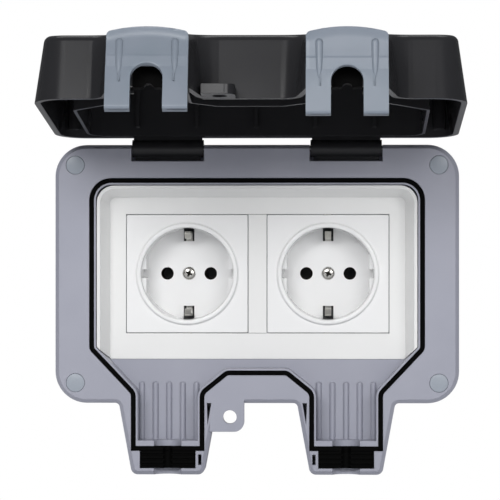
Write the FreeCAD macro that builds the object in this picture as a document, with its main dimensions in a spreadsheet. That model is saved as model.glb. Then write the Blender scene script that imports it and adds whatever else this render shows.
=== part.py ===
# Outdoor weatherproof double socket: a wall box, a front frame with two cable funnels, two earthed
# socket inserts behind white covers, and a deep hinged lid held by two toggle latches.
# Frame: the wall is the plane Y = 0, +Z is up, X = 0 and Z = 0 are the middle of the sockets.
# "Depth" means the distance in front of the wall, so a depth d lies at Y = -d.
import FreeCAD, Part
import math
import os
import Sketcher

V = FreeCAD.Vector
doc = FreeCAD.newDocument("weatherproof_socket")

# Driving dimensions in millimetres and degrees
SIZES = [
    ("face_width", 172.0, "front frame, across"),
    ("face_height", 110.0, "front frame, up and down, without the funnels"),
    ("face_round", 13.5, "corner radius of the frame"),
    ("funnel_centre", 38.0, "each cable funnel, latch and hinge, from the middle"),
    ("funnel_root_half", 20.9, "half width of a funnel where it leaves the frame"),
    ("funnel_end_half", 15.3, "half width of a funnel at its lower end"),
    ("funnel_reach", 30.5, "how far a funnel reaches below the frame"),
    ("funnel_round", 3.0, "lower corners of a funnel"),
    ("root_round", 2.0, "inside corners where a funnel starts"),
    ("base_depth", 50.0, "wall to the front of the frame"),
    ("box_depth", 34.0, "wall to the rim of the box"),
    ("box_inset", 1.0, "box outline inside the frame outline"),
    ("box_wall", 3.0, "side walls of the box"),
    ("box_floor", 3.0, "back wall of the box"),
    ("wall_hole_x", 60.0, "screw holes in the back wall, from the middle"),
    ("wall_hole_z", 40.0, "screw holes in the back wall, above and below the middle"),
    ("wall_hole", 2.3, "radius of those holes"),
    ("knockout_across", 30.0, "cable knockouts, from the middle"),
    ("knockout_radius", 10.6, "cable knockouts, outside of the thin ring"),
    ("knockout_line", 0.6, "width of the thin ring"),
    ("knockout_cut", 1.2, "depth of the thin ring"),
    ("pilot_hole", 1.55, "pilot holes for the corner screws"),
    ("pilot_depth", 22.0, "depth of those holes"),
    ("play", 0.2, "gap between pieces that lie side by side"),
    ("gasket_sheet", 1.2, "flat gasket between box and frame"),
    ("gasket_width", 1.8, "width of the flat gasket"),
    ("skirt_wall", 3.0, "side walls of the frame"),
    ("face_wall", 3.2, "front wall of the frame"),
    ("face_chamfer", 1.6, "bevel round the front of the frame"),
    ("seal_half_width", 71.5, "outer edge of the seal groove, half across"),
    ("seal_top", 40.9, "outer edge of the seal groove, above the middle"),
    ("seal_round", 9.5, "upper corners of the seal groove"),
    ("seal_side_low", 32.3, "where the groove turns in towards a funnel"),
    ("seal_centre_low", 43.2, "groove between the funnels, below the middle"),
    ("seal_centre_half", 12.4, "half length of the groove between the funnels"),
    ("seal_funnel_half", 15.7, "groove inside a funnel, half across"),
    ("seal_funnel_top", 51.2, "where the groove turns straight down a funnel"),
    ("seal_end", 75.4, "lower end of the groove"),
    ("seal_groove", 2.1, "groove width"),
    ("seal_groove_depth", 3.2, "groove depth"),
    ("seal_proud", 2.4, "height of the rubber in its groove"),
    ("seal_fit", 0.05, "rubber to the sides of its groove"),
    ("lip_wall", 0.8, "thin wall inside the groove"),
    ("tray_wall", 2.0, "wall outside the seal groove"),
    ("tray_chamfer", 13.0, "slope of that wall behind the funnels"),
    ("deck_margin", 3.0, "deck below the bezel"),
    ("recess_depth", 12.0, "face of the inner bezel behind the frame's front"),
    ("bezel_sheet", 2.0, "bezel panel"),
    ("bezel_wall", 1.4, "sloped wall of the bezel"),
    ("bezel_slope", 17.0, "angle of the sloped wall"),
    ("bezel_low", 36.7, "lower edge of the bezel"),
    ("bezel_round", 7.5, "upper corners of the bezel"),
    ("bezel_fit", 0.3, "bezel to the lip round it"),
    ("bezel_drop", 0.6, "edge of the bezel behind the frame's front"),
    ("seat_margin", 2.0, "bezel panel's seat inside the lip"),
    ("strap_sheet", 1.2, "steel mounting straps"),
    ("strap_side", 58.0, "side of a strap"),
    ("strap_round", 2.0, "corners of a strap"),
    ("strap_screw_in", 2.6, "strap screws, from the strap's edge"),
    ("strap_pilot", 1.25, "pilot holes for those screws"),
    ("strap_screw_hole", 1.6, "holes in the strap for those screws"),
    ("strap_spare_at", 24.0, "spare holes near a strap's corners"),
    ("strap_spare", 1.8, "radius of the spare holes"),
    ("mouth_room", 1.6, "room in the deck round a plug well"),
    ("deck_sheet", 2.8, "deck that carries the straps"),
    ("rib_count", 5, "ribs on a funnel floor"),
    ("rib_pitch", 5.85, "rib to rib"),
    ("rib_width", 2.4, "rib width, round on top"),
    ("rib_rise", 1.5, "rib height"),
    ("rib_top", 47.2, "upper end of the ribs"),
    ("channel_end", 71.0, "lower end of the channel floor"),
    ("gland_half", 11.9, "rubber cable gland, half across"),
    ("gland_bottom", 82.8, "lower edge of the gland"),
    ("gland_depth", 9.5, "gland pocket, into the frame"),
    ("cable_radius", 5.85, "half round notches for the cable"),
    ("gland_hole", 2.2, "half round groove in the rubber"),
    ("gland_side", 3.2, "lid half of a gland, narrower by"),
    ("gland_short", 2.6, "lid half of a gland, shorter by"),
    ("gland_drop", 0.7, "face of a gland behind the frame's front"),
    ("rubber_fit", 0.1, "rubber to its seat"),
    ("ridge_count", 3, "ridges on a gland"),
    ("ridge_first", 1.2, "first groove between ridges, from the gland's upper edge"),
    ("ridge_pitch", 2.1, "ridge to ridge"),
    ("ridge_groove", 0.9, "groove between ridges"),
    ("ridge_depth", 0.6, "depth of that groove"),
    ("drain_land", 1.0, "drain slot to the seal groove"),
    ("drain_width", 1.9, "tapered drain slot, width at its top"),
    ("drain_tip", 0.3, "its middle at the lower tip"),
    ("drain_drop", 9.4, "its length"),
    ("slot_land", 1.1, "square slot to the gland"),
    ("slot_wide", 1.4, "square slot, width"),
    ("slot_short", 1.5, "square slot, shorter than the gland at each end"),
    ("catch_step", 1.5, "step behind the lower lip that a latch hooks on"),
    ("catch_lip", 6.2, "thickness of that lip"),
    ("screw_margin", 8.6, "corner screws, from the frame's edges"),
    ("screw_hole", 2.2, "radius of the holes for the corner screws"),
    ("cap_radius", 4.0, "round plug over a corner screw"),
    ("cap_sheet", 1.6, "thickness of a plug"),
    ("cap_well", 6.0, "depth of the counterbore"),
    ("head_radius", 3.6, "head of a corner screw"),
    ("head_height", 2.4, "height of that head"),
    ("shank_radius", 1.5, "shank of a corner screw"),
    ("shank_length", 22.0, "shank of a corner screw"),
    ("cover_shank_radius", 1.25, "shank of a cover screw"),
    ("cap_proud", 0.15, "plug in front of the frame"),
    ("cover_head", 2.7, "head of a cover screw"),
    ("cover_head_height", 1.5, "height of that head"),
    ("cover_shank", 12.0, "shank of a cover screw"),
    ("strap_head", 2.2, "head of a strap screw"),
    ("strap_head_height", 0.7, "height of that head"),
    ("strap_shank_radius", 1.2, "shank of a strap screw"),
    ("strap_shank", 4.5, "its length"),
    ("cross_reach", 0.62, "arms of a cross recess, as a part of the head's radius"),
    ("cross_half", 0.3, "half width of a cross recess"),
    ("cross_depth", 0.8, "depth of a cross recess"),
    ("pillar_radius", 5.2, "pillars round the corner screws"),
    ("tab_outer", 18.6, "padlock tab, far side from the middle"),
    ("tab_inner", 5.4, "padlock tab, near side"),
    ("tab_root", 1.5, "how far the tab runs into the funnel beside it"),
    ("tab_drop", 12.2, "padlock tab below the frame"),
    ("tab_sheet", 4.0, "padlock tab thickness"),
    ("tab_round", 4.3, "its lower corner"),
    ("eye_across", 11.5, "padlock eye, from the middle"),
    ("eye_drop", 5.9, "padlock eye below the frame"),
    ("eye_radius", 2.9, "padlock eye radius"),
    ("hinge_behind", 4.0, "hinge axis behind the front of the frame"),
    ("hinge_below", 1.5, "hinge axis below the top edge"),
    ("barrel_radius", 3.7, "hinge barrel"),
    ("barrel_half", 15.2, "half length of a barrel"),
    ("barrel_play", 0.3, "end play of a barrel"),
    ("heel_reach", 5.0, "heel of the hinge, from its axis"),
    ("heel_sheet", 1.7, "heel thickness"),
    ("arm_in", 0.6, "arm from a barrel to the lid, narrower at each end"),
    ("arm_thick", 2.2, "thickness of that arm"),
    ("heel_in", 1.2, "heel, narrower at each end"),
    ("hinge_gap", 0.5, "room round a barrel in its notch"),
    ("pin_radius", 1.25, "hinge pin"),
    ("pin_half", 18.4, "half length of a hinge pin"),
    ("hinge_block_wall", 2.2, "frame material past a hinge pin's ends"),
    ("pin_play", 0.05, "radial play of the pins"),
    ("open_angle", 96.0, "lid opening"),
    ("lid_gap", 0.6, "closed lid to the frame"),
    ("lid_inset", 0.5, "lid outline inside the frame outline"),
    ("lid_wall", 2.4, "lid walls"),
    ("lid_round", 13.0, "lid corners"),
    ("lid_root_round", 6.0, "lid, inside corners at a funnel"),
    ("lid_end_round", 9.0, "lid, lower corners of a funnel"),
    ("lid_draft", 8.0, "slope of the lid's walls"),
    ("lid_depth_top", 34.0, "lid depth at the hinge"),
    ("lid_depth_end", 19.5, "lid depth at the lower end"),
    ("lid_crown", 3.0, "how far the lid's front bulges"),
    ("lid_edge_round", 3.0, "rounding of the lid's front edge"),
    ("tongue_wall", 1.2, "wall in the lid that presses on the seal"),
    ("tongue_gap", 0.2, "tongue to the rubber when closed"),
    ("stay_sheet", 1.6, "thin ribs in the lid"),
    ("stay_pitch", 25.0, "rib to rib"),
    ("stay_rise", 3.0, "rib height"),
    ("post_radius", 2.8, "posts in the lid's upper corners"),
    ("post_short", 5.0, "posts, shorter than the lid is deep"),
    ("socket_pitch", 60.5, "socket to socket"),
    ("cover_width", 52.4, "socket cover, across"),
    ("cover_height", 50.9, "socket cover, up and down"),
    ("cover_gap", 0.15, "gap round a cover"),
    ("cover_sheet", 2.3, "cover thickness"),
    ("well_radius", 20.0, "mouth of the plug well"),
    ("well_floor_radius", 19.6, "floor of the plug well"),
    ("well_depth", 17.5, "rim to floor"),
    ("well_wall", 1.6, "wall of the well"),
    ("well_floor", 2.0, "floor of the well"),
    ("rim_rise", 1.6, "rim of the well, in front of the cover"),
    ("rim_width", 1.9, "rim width"),
    ("cover_round", 0.6, "corners of a cover"),
    ("rim_round", 0.7, "rounding of the well's rim"),
    ("rim_step", 0.5, "foot of the rim, wider by"),
    ("pin_pitch", 19.0, "plug pin to plug pin"),
    ("pin_hole", 2.75, "radius of a pin hole"),
    ("screw_pass", 1.6, "hole for the screw in the middle of a well"),
    ("screw_seat", 2.9, "counterbore for its head"),
    ("screw_sink", 1.0, "depth of that counterbore"),
    ("guide_inner", 17.9, "blocks at the sides of a well, from its middle"),
    ("guide_outer", 20.4, "how far these blocks run into the wall"),
    ("guide_near", 1.9, "guide blocks, side near the pins"),
    ("guide_far", 8.5, "guide blocks, far side"),
    ("guide_short", 3.0, "guide blocks, end below the rim"),
    ("slot_half", 2.3, "slot for the earth clip, half across"),
    ("slot_low", 14.2, "slot for the earth clip, inner end"),
    ("slot_rise", 10.0, "height of that slot above the well's floor"),
    ("clip_half", 1.9, "earth clip, half across"),
    ("clip_sheet", 0.8, "earth clip thickness"),
    ("clip_reach", 18.4, "earth clip, outside, from the well's middle"),
    ("clip_nip", 16.0, "where the clip bends inwards most"),
    ("clip_tip", 18.2, "its flared tip"),
    ("clip_straight", 8.0, "length of its straight part"),
    ("clip_bend", 13.5, "bar to the inward bend"),
    ("clip_length", 16.2, "bar to the tip"),
    ("clip_round", 2.0, "bend radius"),
    ("channel_depth", 1.6, "channel for the clip's bar"),
    ("insert_side", 43.0, "insert block, side"),
    ("insert_height", 14.0, "insert block, front to back"),
    ("insert_gap", 0.2, "well floor to insert"),
    ("insert_round", 5.0, "corners of an insert"),
    ("arm_half", 4.5, "arms from an insert to its strap, half width"),
    ("arm_sheet", 1.5, "arm thickness"),
    ("wire_pitch", 11.0, "wire entries and terminal screws"),
    ("wire_radius", 1.9, "wire entry"),
    ("wire_depth", 8.0, "depth of a wire entry"),
    ("wire_in", 4.0, "wire entries, from the back of an insert"),
    ("terminal_in", 4.5, "terminal screws, from the insert's upper edge"),
    ("terminal_radius", 1.5, "terminal screw"),
    ("terminal_length", 3.0, "terminal screw length"),
    ("terminal_sink", 2.2, "how deep it sits in the insert"),
    ("contact_radius", 3.0, "contact sleeve, outside"),
    ("contact_bore", 2.35, "contact sleeve, inside"),
    ("contact_length", 11.0, "contact sleeve length"),
    ("contact_slit", 0.8, "slit in a sleeve"),
    ("contact_foot", 2.5, "unslit foot of a sleeve"),
    ("latch_half", 15.7, "latch, half across"),
    ("latch_sheet", 2.5, "latch thickness"),
    ("latch_set", 1.7, "latch plate outside its pivot"),
    ("latch_wedge", 0.6, "how much the lever flares"),
    ("lip_rise", 3.0, "lip of the lever, outside the plate"),
    ("lip_sheet", 1.8, "thickness of the lip's edge"),
    ("lip_round", 3.0, "rounding under the lip"),
    ("hook_gap", 0.4, "hooked leg to the frame"),
    ("hook_short", 0.3, "hook's tip to the wall behind it"),
    ("latch_rib_across", 10.3, "ribs on a latch, from its middle"),
    ("latch_rib_half", 0.9, "half width at their lower end"),
    ("latch_rib_tip", 0.15, "half width at their upper end"),
    ("latch_rib_behind", 11.0, "ribs, from the pivot towards the legs"),
    ("latch_rib_ahead", 5.0, "ribs, from the pivot towards the lip"),
    ("latch_rib_rise", 0.7, "rib height"),
    ("notch_start", 3.0, "pivot to the top of the notch between the legs"),
    ("latch_barrel_in", 1.2, "latch barrel, shorter than the latch at each end"),
    ("latch_notch", 6.2, "latch notch, half across"),
    ("latch_leg", 21.6, "pivot to the ends of the legs"),
    ("latch_lever", 11.8, "pivot to the lip of the lever"),
    ("latch_crown", 2.2, "curve of the lip"),
    ("latch_pivot_depth", 60.2, "latch pivot in front of the wall, lid closed"),
    ("latch_pivot_out", 0.8, "latch pivot outside the funnel's end"),
    ("latch_pin", 1.0, "latch pin radius"),
    ("latch_barrel", 2.1, "latch barrel radius"),
    ("lug_radius", 1.9, "lid lugs round the latch pin"),
    ("lug_near", 9.0, "lug, near side"),
    ("lug_far", 11.3, "lug, far side"),
    ("lug_play", 0.25, "latch to the lugs"),
    ("lug_web", 4.5, "web from a lug into the lid's wall"),
    ("left_latch_angle", 21.0, "left latch, swung out from the hooked position"),
    ("right_latch_angle", 8.0, "right latch, swung out from the hooked position"),
]

sheet = doc.addObject("Spreadsheet::Sheet", "Sizes")
for row, (alias, number, meaning) in enumerate(SIZES, start=1):
    sheet.set("A%d" % row, alias)
    sheet.set("B%d" % row, str(number))
    sheet.set("C%d" % row, meaning)
    sheet.setAlias("B%d" % row, alias)
doc.recompute()

ALIASES = sorted((entry[0] for entry in SIZES), key=len, reverse=True)


def value(expression):
    """The number that an expression of sheet names gives."""
    return float(sheet.evalExpression(bound(expression)))


def bound(expression):
    """The expression with each sheet name written as Sizes.name."""
    text = str(expression)
    words = []
    word = ""
    for letter in text + " ":
        if letter.isalnum() or letter in "_.":
            word += letter
            continue
        if word:
            words.append("Sizes." + word if word in ALIASES else word)
        words.append(letter)
        word = ""
    return "".join(words).strip()


def tie(thing, prop, expression):
    thing.setExpression(prop, bound(expression))


# Places that several pieces share, as expressions
SIDE = "face_width / 2"
TOP = "face_height / 2"
END = "(face_height / 2 + funnel_reach)"
FRAME_REAR = "(box_depth + gasket_sheet)"
BEZEL_FACE = "(base_depth - recess_depth)"
BEZEL_REAR = "(base_depth - recess_depth - bezel_sheet)"
STRAP_REAR = "(base_depth - recess_depth - bezel_sheet - strap_sheet)"
GROOVE_FLOOR = "(base_depth - seal_groove_depth)"
COVER_FACE = "(base_depth - recess_depth - bezel_sheet + cover_sheet)"
WELL_RIM = "(base_depth - recess_depth - bezel_sheet + cover_sheet + rim_rise)"
WELL_FLOOR = "(base_depth - recess_depth - bezel_sheet + cover_sheet + rim_rise - well_depth)"
INSERT_FACE = "(%s - well_floor - insert_gap)" % WELL_FLOOR
HINGE_DEPTH = "(base_depth - hinge_behind)"
HINGE_HEIGHT = "(face_height / 2 - hinge_below)"
RIM = "(base_depth + lid_gap)"
CORNER_X = "(face_width / 2 - screw_margin)"
CORNER_Z = "(face_height / 2 - screw_margin)"
PIVOT_HEIGHT = "(0 - face_height / 2 - funnel_reach - latch_pivot_out)"
OPEN = ("placement(vector(0; 0; 0); rotation(vector(1; 0; 0); 0 - open_angle);"
        " vector(0; 0 - %s; %s))" % (HINGE_DEPTH, HINGE_HEIGHT))


# Sketches and features
def new_body(name, label=None):
    body = doc.addObject("PartDesign::Body", name)
    body.Label = label or name
    return body


def plane(body, role):
    return [part for part in body.Origin.OriginFeatures if part.Role == role][0]


def sketch(body, name, role, offset):
    """A sketch on one of the body's planes, moved along its normal."""
    drawn = body.newObject("Sketcher::SketchObject", name)
    drawn.AttachmentSupport = [(plane(body, role), "")]
    drawn.MapMode = "FlatFace"
    tie(drawn, "AttachmentOffset.Base.z", offset)
    return drawn


def front(body, name, depth):
    """A sketch seen from the front, X across and Z up, at a depth."""
    return sketch(body, name, "XZ_Plane", depth)


def fix_point(drawn, rules, binds, point, x, y):
    rules.append(Sketcher.Constraint("DistanceX", -1, 1, point[0], point[1], value(x)))
    binds.append(x)
    rules.append(Sketcher.Constraint("DistanceY", -1, 1, point[0], point[1], value(y)))
    binds.append(y)


def settle(drawn, rules, binds):
    """Adds the rules and ties each that has an expression to the sheet."""
    first = drawn.ConstraintCount
    drawn.addConstraint(rules)
    for place, expression in enumerate(binds):
        if expression is not None:
            tie(drawn, "Constraints[%d]" % (first + place), expression)


def corner_geometry(points, radii, i):
    """Start, end and centre of the arc at corner i, or None for a sharp corner."""
    if radii[i] <= 1e-6:
        return None
    here = points[i]
    back = (points[i - 1] - here).normalize()
    ahead = (points[(i + 1) % len(points)] - here).normalize()
    angle = math.acos(max(-1.0, min(1.0, back.dot(ahead))))
    reach = radii[i] / math.tan(angle / 2)
    centre = here + (back + ahead).normalize() * (radii[i] / math.sin(angle / 2))
    return here + back * reach, here + ahead * reach, centre


def loop(drawn, corners):
    """A closed outline of straight runs; each corner is (x, y, radius), in expressions."""
    points = [V(value(x), value(y), 0) for x, y, _ in corners]
    radii = [value(r) for _, _, r in corners]
    count = len(corners)
    arcs = [corner_geometry(points, radii, i) for i in range(count)]
    lines = []
    for i in range(count):
        ahead = (i + 1) % count
        start = arcs[i][1] if arcs[i] else points[i]
        end = arcs[ahead][0] if arcs[ahead] else points[ahead]
        lines.append(drawn.addGeometry(Part.LineSegment(start, end), False))
    rules = []
    binds = []
    for i in range(count):
        if not arcs[i]:
            rules.append(Sketcher.Constraint("Coincident", lines[i - 1], 2, lines[i], 1))
            binds.append(None)
            fix_point(drawn, rules, binds, (lines[i], 1), corners[i][0], corners[i][1])
            continue
        start, end, centre = arcs[i]
        first = math.atan2(start.y - centre.y, start.x - centre.x)
        last = math.atan2(end.y - centre.y, end.x - centre.x)
        turn = (start - centre).cross(end - centre).z > 0
        low, high = (first, last) if turn else (last, first)
        if high < low:
            high += 2 * math.pi
        circle = Part.Circle(centre, V(0, 0, 1), radii[i])
        arc = drawn.addGeometry(Part.ArcOfCircle(circle, low, high), False)
        head, tail = (1, 2) if turn else (2, 1)
        rules.append(Sketcher.Constraint("Tangent", lines[i - 1], 2, arc, head))
        rules.append(Sketcher.Constraint("Tangent", arc, tail, lines[i], 1))
        rules.append(Sketcher.Constraint("Radius", arc, radii[i]))
        binds += [None, None, corners[i][2]]
        mark = drawn.addGeometry(Part.Point(points[i]), True)
        rules.append(Sketcher.Constraint("PointOnObject", mark, 1, lines[i - 1]))
        rules.append(Sketcher.Constraint("PointOnObject", mark, 1, lines[i]))
        binds += [None, None]
        fix_point(drawn, rules, binds, (mark, 1), corners[i][0], corners[i][1])
    settle(drawn, rules, binds)


def box_corners(x0, z0, x1, z1, radius="0"):
    return [(x0, z0, radius), (x1, z0, radius), (x1, z1, radius), (x0, z1, radius)]


def ring(drawn, x, z, radius):
    """A circle, tied to the sheet."""
    circle = Part.Circle(V(value(x), value(z), 0), V(0, 0, 1), value(radius))
    made = drawn.addGeometry(circle, False)
    rules = [Sketcher.Constraint("Radius", made, value(radius))]
    binds = [radius]
    fix_point(drawn, rules, binds, (made, 3), x, z)
    settle(drawn, rules, binds)


def inset(corners, amount):
    """The outline moved inwards by an amount (outwards if it is negative)."""
    points = [V(value(x), value(z), 0) for x, z, _ in corners]
    count = len(points)
    area = sum(points[i].x * points[(i + 1) % count].y - points[(i + 1) % count].x * points[i].y
               for i in range(count))
    turning = 1 if area > 0 else -1
    moved = []
    for i, (x, z, r) in enumerate(corners):
        before = (points[i] - points[i - 1]).normalize()
        after = (points[(i + 1) % count] - points[i]).normalize()
        normal_before = V(-before.y, before.x, 0) * turning
        normal_after = V(-after.y, after.x, 0) * turning
        miter = (normal_before + normal_after) * (1 / (1 + normal_before.dot(normal_after)))
        convex = before.cross(after).z * turning > 0
        sign = "-" if convex else "+"
        radius = "%s %s (%s)" % (r, sign, amount)
        if value(r) <= 0 or value(radius) <= 0:
            radius = "0"
        moved.append(("%s + (%s) * %.9f" % (x, amount, miter.x),
                      "%s + (%s) * %.9f" % (z, amount, miter.y), radius))
    return moved


def mirrored(right):
    """A whole outline from its right half, given from top to bottom."""
    return right + [("0 - (%s)" % x, z, r) for x, z, r in reversed(right)]


def pad(body, name, drawn, length, taper=None, both=False, back=False):
    made = body.newObject("PartDesign::Pad", name)
    made.Profile = drawn
    tie(made, "Length", length)
    if both:
        made.Midplane = True
    made.Reversed = back
    if taper:
        tie(made, "TaperAngle", taper)
    return made


def pocket(body, name, drawn, length, taper=None, both=False, ahead=False):
    """A cut that goes against the sketch's normal, or along it where ahead is set."""
    made = body.newObject("PartDesign::Pocket", name)
    made.Profile = drawn
    tie(made, "Length", length)
    if both:
        made.Midplane = True
    made.Reversed = ahead
    if taper:
        tie(made, "TaperAngle", taper)
    return made


def turned(body, name, drawn, axis, cut=False):
    kind = "PartDesign::Groove" if cut else "PartDesign::Revolution"
    made = body.newObject(kind, name)
    made.Profile = drawn
    made.ReferenceAxis = (plane(body, axis), [""])
    made.Angle = 360.0
    return made


def block(name, x0, x1, depth0, depth1, z0, z1):
    """A plain block between two values of X, depth and Z."""
    made = doc.addObject("Part::Box", name)
    tie(made, "Length", "(%s) - (%s)" % (x1, x0))
    tie(made, "Width", "(%s) - (%s)" % (depth1, depth0))
    tie(made, "Height", "(%s) - (%s)" % (z1, z0))
    tie(made, "Placement.Base.x", x0)
    tie(made, "Placement.Base.y", "0 - (%s)" % depth1)
    tie(made, "Placement.Base.z", z0)
    return made


def rod(name, axis, radius, length, x, depth, z):
    """A cylinder that starts at a point and runs along +X, the front or -Z."""
    turns = {"across": (V(0, 1, 0), 90), "forward": (V(1, 0, 0), 90), "down": (V(1, 0, 0), 180)}
    made = doc.addObject("Part::Cylinder", name)
    made.Placement.Rotation = FreeCAD.Rotation(*turns[axis])
    tie(made, "Radius", radius)
    tie(made, "Height", length)
    tie(made, "Placement.Base.x", x)
    tie(made, "Placement.Base.y", "0 - (%s)" % depth)
    tie(made, "Placement.Base.z", z)
    return made


def fuse(name, parts):
    made = doc.addObject("Part::MultiFuse", name)
    made.Shapes = parts
    return made


def cut(name, base, tool):
    made = doc.addObject("Part::Cut", name)
    made.Base = base
    made.Tool = tool
    return made


def common(name, first, second):
    made = doc.addObject("Part::MultiCommon", name)
    made.Shapes = [first, second]
    return made


def group(name, parts):
    made = doc.addObject("Part::Compound", name)
    made.Links = parts
    return made


# Planes that part a large moulding beside its recess, its funnels and the gap between them
WINDOW_Z = "(well_radius + well_wall + mouth_room)"
WINDOW_X = "(socket_pitch / 2 + well_radius + well_wall + mouth_room)"
CHANNEL_HALF = "(seal_funnel_half - seal_groove - lip_wall - play)"
LID_CHANNEL_HALF = "(seal_funnel_half - seal_groove - play / 2)"
HIGH_CUT = "(seal_top - seal_groove - lip_wall - deck_margin / 2)"
SIDE_CUT = "(seal_half_width - seal_round)"
LOW_CUT = "(bezel_low + bezel_fit)"
GAP_CUT = "(face_height / 2 + bezel_fit)"
LID_GAP_CUT = "(face_height / 2 + lid_inset + lid_wall / 2)"
GAP_HALF = "(eye_across + eye_radius + 1)"

SIDES = (("left", -1), ("right", 1))
NODES = []


def zones(channel, end, gap, window):
    """The zones of a moulding: (x0, x1, z0, z1), each beside the openings and not across one."""
    far = "2 * face_width"
    near = "(funnel_centre - %s)" % channel
    outer = "(funnel_centre + %s)" % channel
    found = [("0 - " + far, far, HIGH_CUT, far),
             ("0 - " + GAP_HALF, GAP_HALF, "0 - " + far, "0 - " + gap),
             ("0 - " + near, near, "0 - " + gap, "0 - " + LOW_CUT)]
    if window:
        found.append(("0 - " + SIDE_CUT, SIDE_CUT, WINDOW_Z, HIGH_CUT))
        found.append(("0 - " + SIDE_CUT, SIDE_CUT, "0 - " + LOW_CUT, "0 - " + WINDOW_Z))
    else:
        found.append(("0 - " + SIDE_CUT, SIDE_CUT, "0 - " + LOW_CUT, HIGH_CUT))
    beside = [(SIDE_CUT, far, "0 - " + far, HIGH_CUT),
              (outer, SIDE_CUT, "0 - " + far, "0 - " + LOW_CUT),
              (near, outer, "0 - " + end, "0 - " + LOW_CUT),
              (near, outer, "0 - " + far, "0 - " + end),
              (GAP_HALF, near, "0 - " + far, "0 - " + gap)]
    if window:
        beside.append((WINDOW_X, SIDE_CUT, "0 - " + WINDOW_Z, WINDOW_Z))
    for x0, x1, z0, z1 in beside:
        found.append((x0, x1, z0, z1))
        found.append(("0 - " + x1, "0 - " + x0, z0, z1))
    return found


def part_off(name, whole, limits):
    """One moulding as touching blocks, so that each keeps to its own side of an opening."""
    blocks = []
    for k, (x0, x1, z0, z1) in enumerate(limits, start=1):
        zone = block("%s_zone_%d" % (name, k), x0, x1, "0", "4 * base_depth", z0, z1)
        blocks.append(common("%s_block_%d" % (name, k), whole, zone))
    return group(name + "_blocks", blocks)


def part_round(name, whole, split):
    """A moulding round a well as a floor behind a depth and eight sectors in front of it."""
    reach = "2 * cover_width"
    floor = rod(name + "_floor_zone", "forward", reach, split, "0", "0", "0")
    blocks = [common(name + "_floor", whole, floor)]
    for k in range(8):
        zone = rod("%s_zone_%d" % (name, k + 1), "forward", reach, "2 * base_depth", "0", split,
                   "0")
        zone.Angle = 45.0
        zone.Placement.Rotation = zone.Placement.Rotation * FreeCAD.Rotation(V(0, 0, 1), 45.0 * k)
        blocks.append(common("%s_sector_%d" % (name, k + 1), whole, zone))
    return group(name + "_blocks", blocks)


def node(made, label):
    made.Label = label
    NODES.append(made)
    return made


# Outlines seen from the front
FUNNEL_IN = "(funnel_centre - funnel_root_half)"
FUNNEL_OUT = "(funnel_centre + funnel_root_half)"
FACE = mirrored([
    (SIDE, TOP, "face_round"),
    (SIDE, "0 - face_height / 2", "face_round"),
    (FUNNEL_OUT, "0 - face_height / 2", "root_round"),
    ("funnel_centre + funnel_end_half", "0 - " + END, "funnel_round"),
    ("funnel_centre - funnel_end_half", "0 - " + END, "funnel_round"),
    (FUNNEL_IN, "0 - face_height / 2", "root_round"),
])
BOX = inset(box_corners("0 - face_width / 2", "0 - face_height / 2", SIDE, TOP, "face_round"),
            "box_inset")
SEAL = mirrored([
    ("seal_half_width", "seal_top", "seal_round"),
    ("seal_half_width", "0 - seal_side_low", "4"),
    ("funnel_centre + seal_funnel_half", "0 - seal_funnel_top", "3"),
    ("funnel_centre + seal_funnel_half", "0 - seal_end", "0"),
    ("funnel_centre - seal_funnel_half", "0 - seal_end", "0"),
    ("funnel_centre - seal_funnel_half", "0 - seal_funnel_top", "3"),
    ("seal_centre_half", "0 - seal_centre_low", "2"),
])
TRAY = inset(SEAL, "seal_groove + lip_wall")
TRAY_EDGE = "(seal_groove + lip_wall)"
SLOPE_RUN = "(seal_half_width - funnel_centre - seal_funnel_half)"
SLOPE_DROP = "(seal_funnel_top - seal_side_low)"


def under_slope(half, top, low, amount, radius):
    """A panel between two heights whose lower corners follow the seal's sloping part.

    The amount is how far the panel keeps inside that slope's outer edge.
    """
    shift = "(%s) / cos(atan(%s / %s))" % (amount, SLOPE_RUN, SLOPE_DROP)
    bend = "0 - seal_side_low - (seal_half_width - %s - (%s)) * %s / %s" % (
        shift, half, SLOPE_DROP, SLOPE_RUN)
    foot = "seal_half_width - %s - ((%s) - seal_side_low) * %s / %s" % (
        shift, low, SLOPE_RUN, SLOPE_DROP)
    return mirrored([(half, top, radius), (half, bend, "0"), (foot, "0 - (%s)" % low, "0")])


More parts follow.
